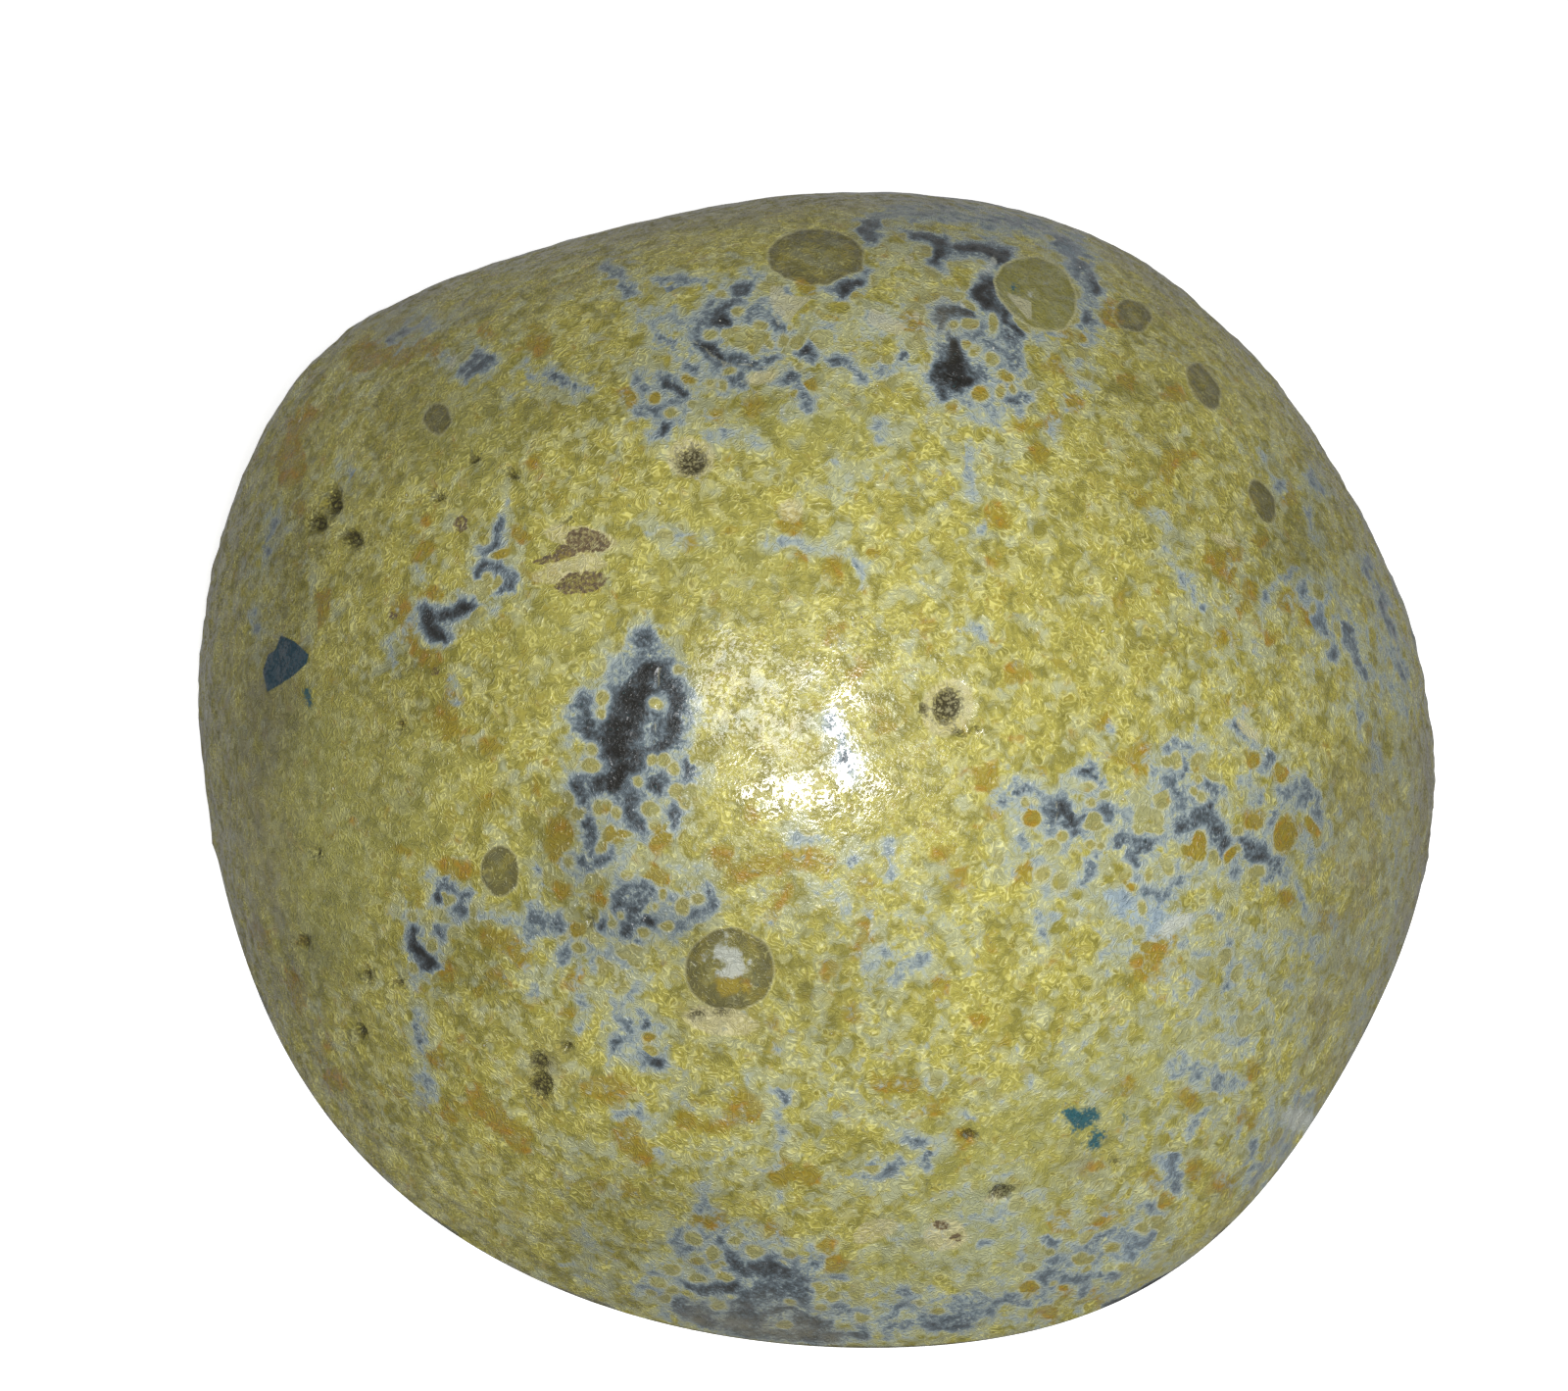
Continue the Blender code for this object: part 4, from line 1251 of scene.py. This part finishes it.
    colour = layered(
        tree, colour,
        (dustAndSheen, look["dustAndSheen"]),
        (orb, orbTone),
        (lens, look["lens"]),
        (orbRim, look["rim"]),
        (lensRim, look["rim"]),
        (rescale(tree, white, 0.40, 0.95, 0.0, cover["white"]), look["white"]),
        (times(tree, chip, cover["chip"]), look["chip"]),
        (times(tree, buff, crust), dryTone),
        (times(tree, pink, pinkDots), look["pink"]),
        (times(tree, pit, pitSpecks), look["pit"]),
        (teal, look["teal"]),
        (flake, look["flake"]),
        (times(tree, crack, cover["crack"]), look["chip"]))
    # the base colour is darkened by the painted shade and the rind's darker tone
    plug(tree, shader, "Base Color", scaled(tree, colour, less(tree, 1.0, painted(tree, "paintedShadeAndTone"))))

    # gloss: glassy in worn patches, duller over the wrinkles, matt on the dry patches
    polish = plus(tree, sheen, swing(tree, grain, 1.6), swing(tree, curlNoise, 0.9))
    polish = rescale(tree, polish, 0.38, 0.54)
    rough = plus(tree, rescale(tree, polish, 0.0, 1.0, *gloss["roughness"]), swing(tree, grain, 0.2))
    dry = times(tree, largest(tree, buff, dustAndSheen, times(tree, pit, 2.0)), gloss["dryRoughness"])
    plug(tree, shader, "Roughness", maths(tree, "ADD", rough, dry, clamp=True))
    coat = times(tree, rescale(tree, polish, 0.0, 1.0, *gloss["coat"]),
                 less(tree, 1.0, largest(tree, buff, pit)))
    plug(tree, shader, "Coat Weight", coat)
    plug(tree, shader, "Specular IOR Level", gloss["specular"])
    plug(tree, shader, "Coat Roughness", gloss["coatRoughness"])

    # fine relief
    for socket, height, (strength, distance) in (("Normal", plus(tree, curl, grain), gloss["bump"]),
                                                 ("Coat Normal", grain, gloss["coatBump"])):
        bump = addNode(tree, "ShaderNodeBump")
        plug(tree, bump, "Strength", strength)
        plug(tree, bump, "Distance", distance)
        plug(tree, bump, "Height", height)
        plug(tree, shader, socket, bump.outputs["Normal"])
    return material


sawnLook = {
    "rind": (0.360, 0.330, 0.110),
    "stripe": (0.500, 0.540, 0.540),
    "bandsAcross": 16.0,
    "drift": (0.07, 4.0, 0.55),   # waves per millimetre, detail, roughness
    "bandDrift": 0.35,
    "rindDrift": 0.06,
    "rindEdge": (0.030, 0.045),
    "roughness": 0.16,
    "bands": (
        (0.00, (0.300, 0.270, 0.080)),
        (0.06, (0.420, 0.430, 0.300)),
        (0.10, (0.240, 0.290, 0.310)),
        (0.30, (0.120, 0.150, 0.175)),
        (0.55, (0.300, 0.340, 0.350)),
        (0.80, (0.060, 0.070, 0.085)),
        (1.00, (0.020, 0.020, 0.022)),
    ),
}


def makeSawnMaterial():
    material = bpy.data.materials.new("agateSawn")
    material.use_nodes = True
    tree = material.node_tree
    shader = tree.nodes["Principled BSDF"]
    local = addNode(tree, "ShaderNodeTexCoord").outputs["Object"]
    inMm = shifted(tree, local, (0.0, 0.0, 0.0), (1.0 / mm,) * 3)
    drift = noiseAt(tree, inMm, *sawnLook["drift"]).outputs["Fac"]
    inward = painted(tree, "inward")
    depth = plus(tree, inward, swing(tree, drift, sawnLook["bandDrift"]))
    ripple = maths(tree, "SINE", times(tree, depth, sawnLook["bandsAcross"] * 2 * math.pi))
    fine = maths(tree, "SINE", times(tree, depth, sawnLook["bandsAcross"] * 7 * math.pi))
    stripe = plus(tree, times(tree, ripple, 0.6), times(tree, fine, 0.4))
    rind = plus(tree, inward, swing(tree, drift, sawnLook["rindDrift"]))
    colour = layered(tree, colourRamp(tree, depth, sawnLook["bands"]),
                     (rescale(tree, stripe, 0.1, 0.9, 0.0, 0.45), sawnLook["stripe"]),
                     (rescale(tree, rind, *sawnLook["rindEdge"], 1.0, 0.0), sawnLook["rind"]))
    plug(tree, shader, "Base Color", colour)
    plug(tree, shader, "Roughness", sawnLook["roughness"])
    return material


nodule = bpy.data.objects.new("agateNodule", stoneMesh)
scene.collection.objects.link(nodule)
stoneMesh.materials.append(makeRindMaterial())
stoneMesh.materials.append(makeSawnMaterial())
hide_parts("nodule")
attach(nodule, "root")
print("materials made")


# Studio: a pale floor, a soft key lamp near the camera, and three small lamps seen only in the gloss,
# whose reflections make the broken highlight.
studio = {
    "floorHalf": 1.5,
    "floorDrop": 0.02 * mm,   # keeps the floor clear of the sawn face
    "floorColour": (0.86, 0.86, 0.86),
    "floorRoughness": 0.9,
    "floorGlow": 0.60,
    "skyBrightness": 0.26,
    "lampDistance": 0.36,
    # right and up from the camera's line of sight, size across, size up, power
    "lamps": {
        "keyLamp": (0.044, -0.018, 0.16, 0.16, 1.24),
        "glintRight": (0.040, 0.006, 0.050, 0.110, 0.50),
        "glintLow": (-0.018, -0.060, 0.130, 0.042, 0.50),
        "glintHigh": (-0.060, 0.036, 0.100, 0.080, 0.19),
    },
    "unmirrored": ("keyLamp",),
}


def makeFloor():
    bm = bmesh.new()
    bmesh.ops.create_grid(bm, x_segments=1, y_segments=1, size=studio["floorHalf"])
    bmesh.ops.translate(bm, verts=bm.verts, vec=(0.0, 0.0, -studio["floorDrop"]))
    mesh = bpy.data.meshes.new("floor")
    bm.to_mesh(mesh)
    bm.free()
    material = bpy.data.materials.new("paleFloor")
    material.use_nodes = True
    shader = material.node_tree.nodes["Principled BSDF"]
    shader.inputs["Base Color"].default_value = (*studio["floorColour"], 1.0)
    shader.inputs["Roughness"].default_value = studio["floorRoughness"]
    shader.inputs["Emission Color"].default_value = (1.0, 1.0, 1.0, 1.0)
    shader.inputs["Emission Strength"].default_value = studio["floorGlow"]
    mesh.materials.append(material)
    floor = bpy.data.objects.new("floor", mesh)
    floor.visible_diffuse = False
    floor.visible_glossy = False
    scene.collection.objects.link(floor)


def makeLamps():
    right, up, back = cameraAxes()[1:]
    target = Vector(camera["lookAt"])
    for name, (aside, above, across, high, power) in studio["lamps"].items():
        data = bpy.data.lights.new(name, "AREA")
        data.shape = "RECTANGLE"
        data.size = across
        data.size_y = high
        data.energy = power
        lamp = bpy.data.objects.new(name, data)
        lamp.location = target + back * studio["lampDistance"] + right * aside + up * above
        lamp.rotation_euler = (target - lamp.location).to_track_quat("-Z", "Y").to_euler()
        lamp.visible_glossy = name not in studio["unmirrored"]
        lamp.visible_diffuse = name in studio["unmirrored"]
        scene.collection.objects.link(lamp)


def makeSky():
    world = bpy.data.worlds.new("sky")
    world.use_nodes = True
    background = world.node_tree.nodes["Background"]
    background.inputs["Color"].default_value = (1.0, 1.0, 1.0, 1.0)
    background.inputs["Strength"].default_value = studio["skyBrightness"]
    scene.world = world
    scene.view_settings.view_transform = "Standard"


makeFloor()
makeLamps()
makeSky()
print("studio made")
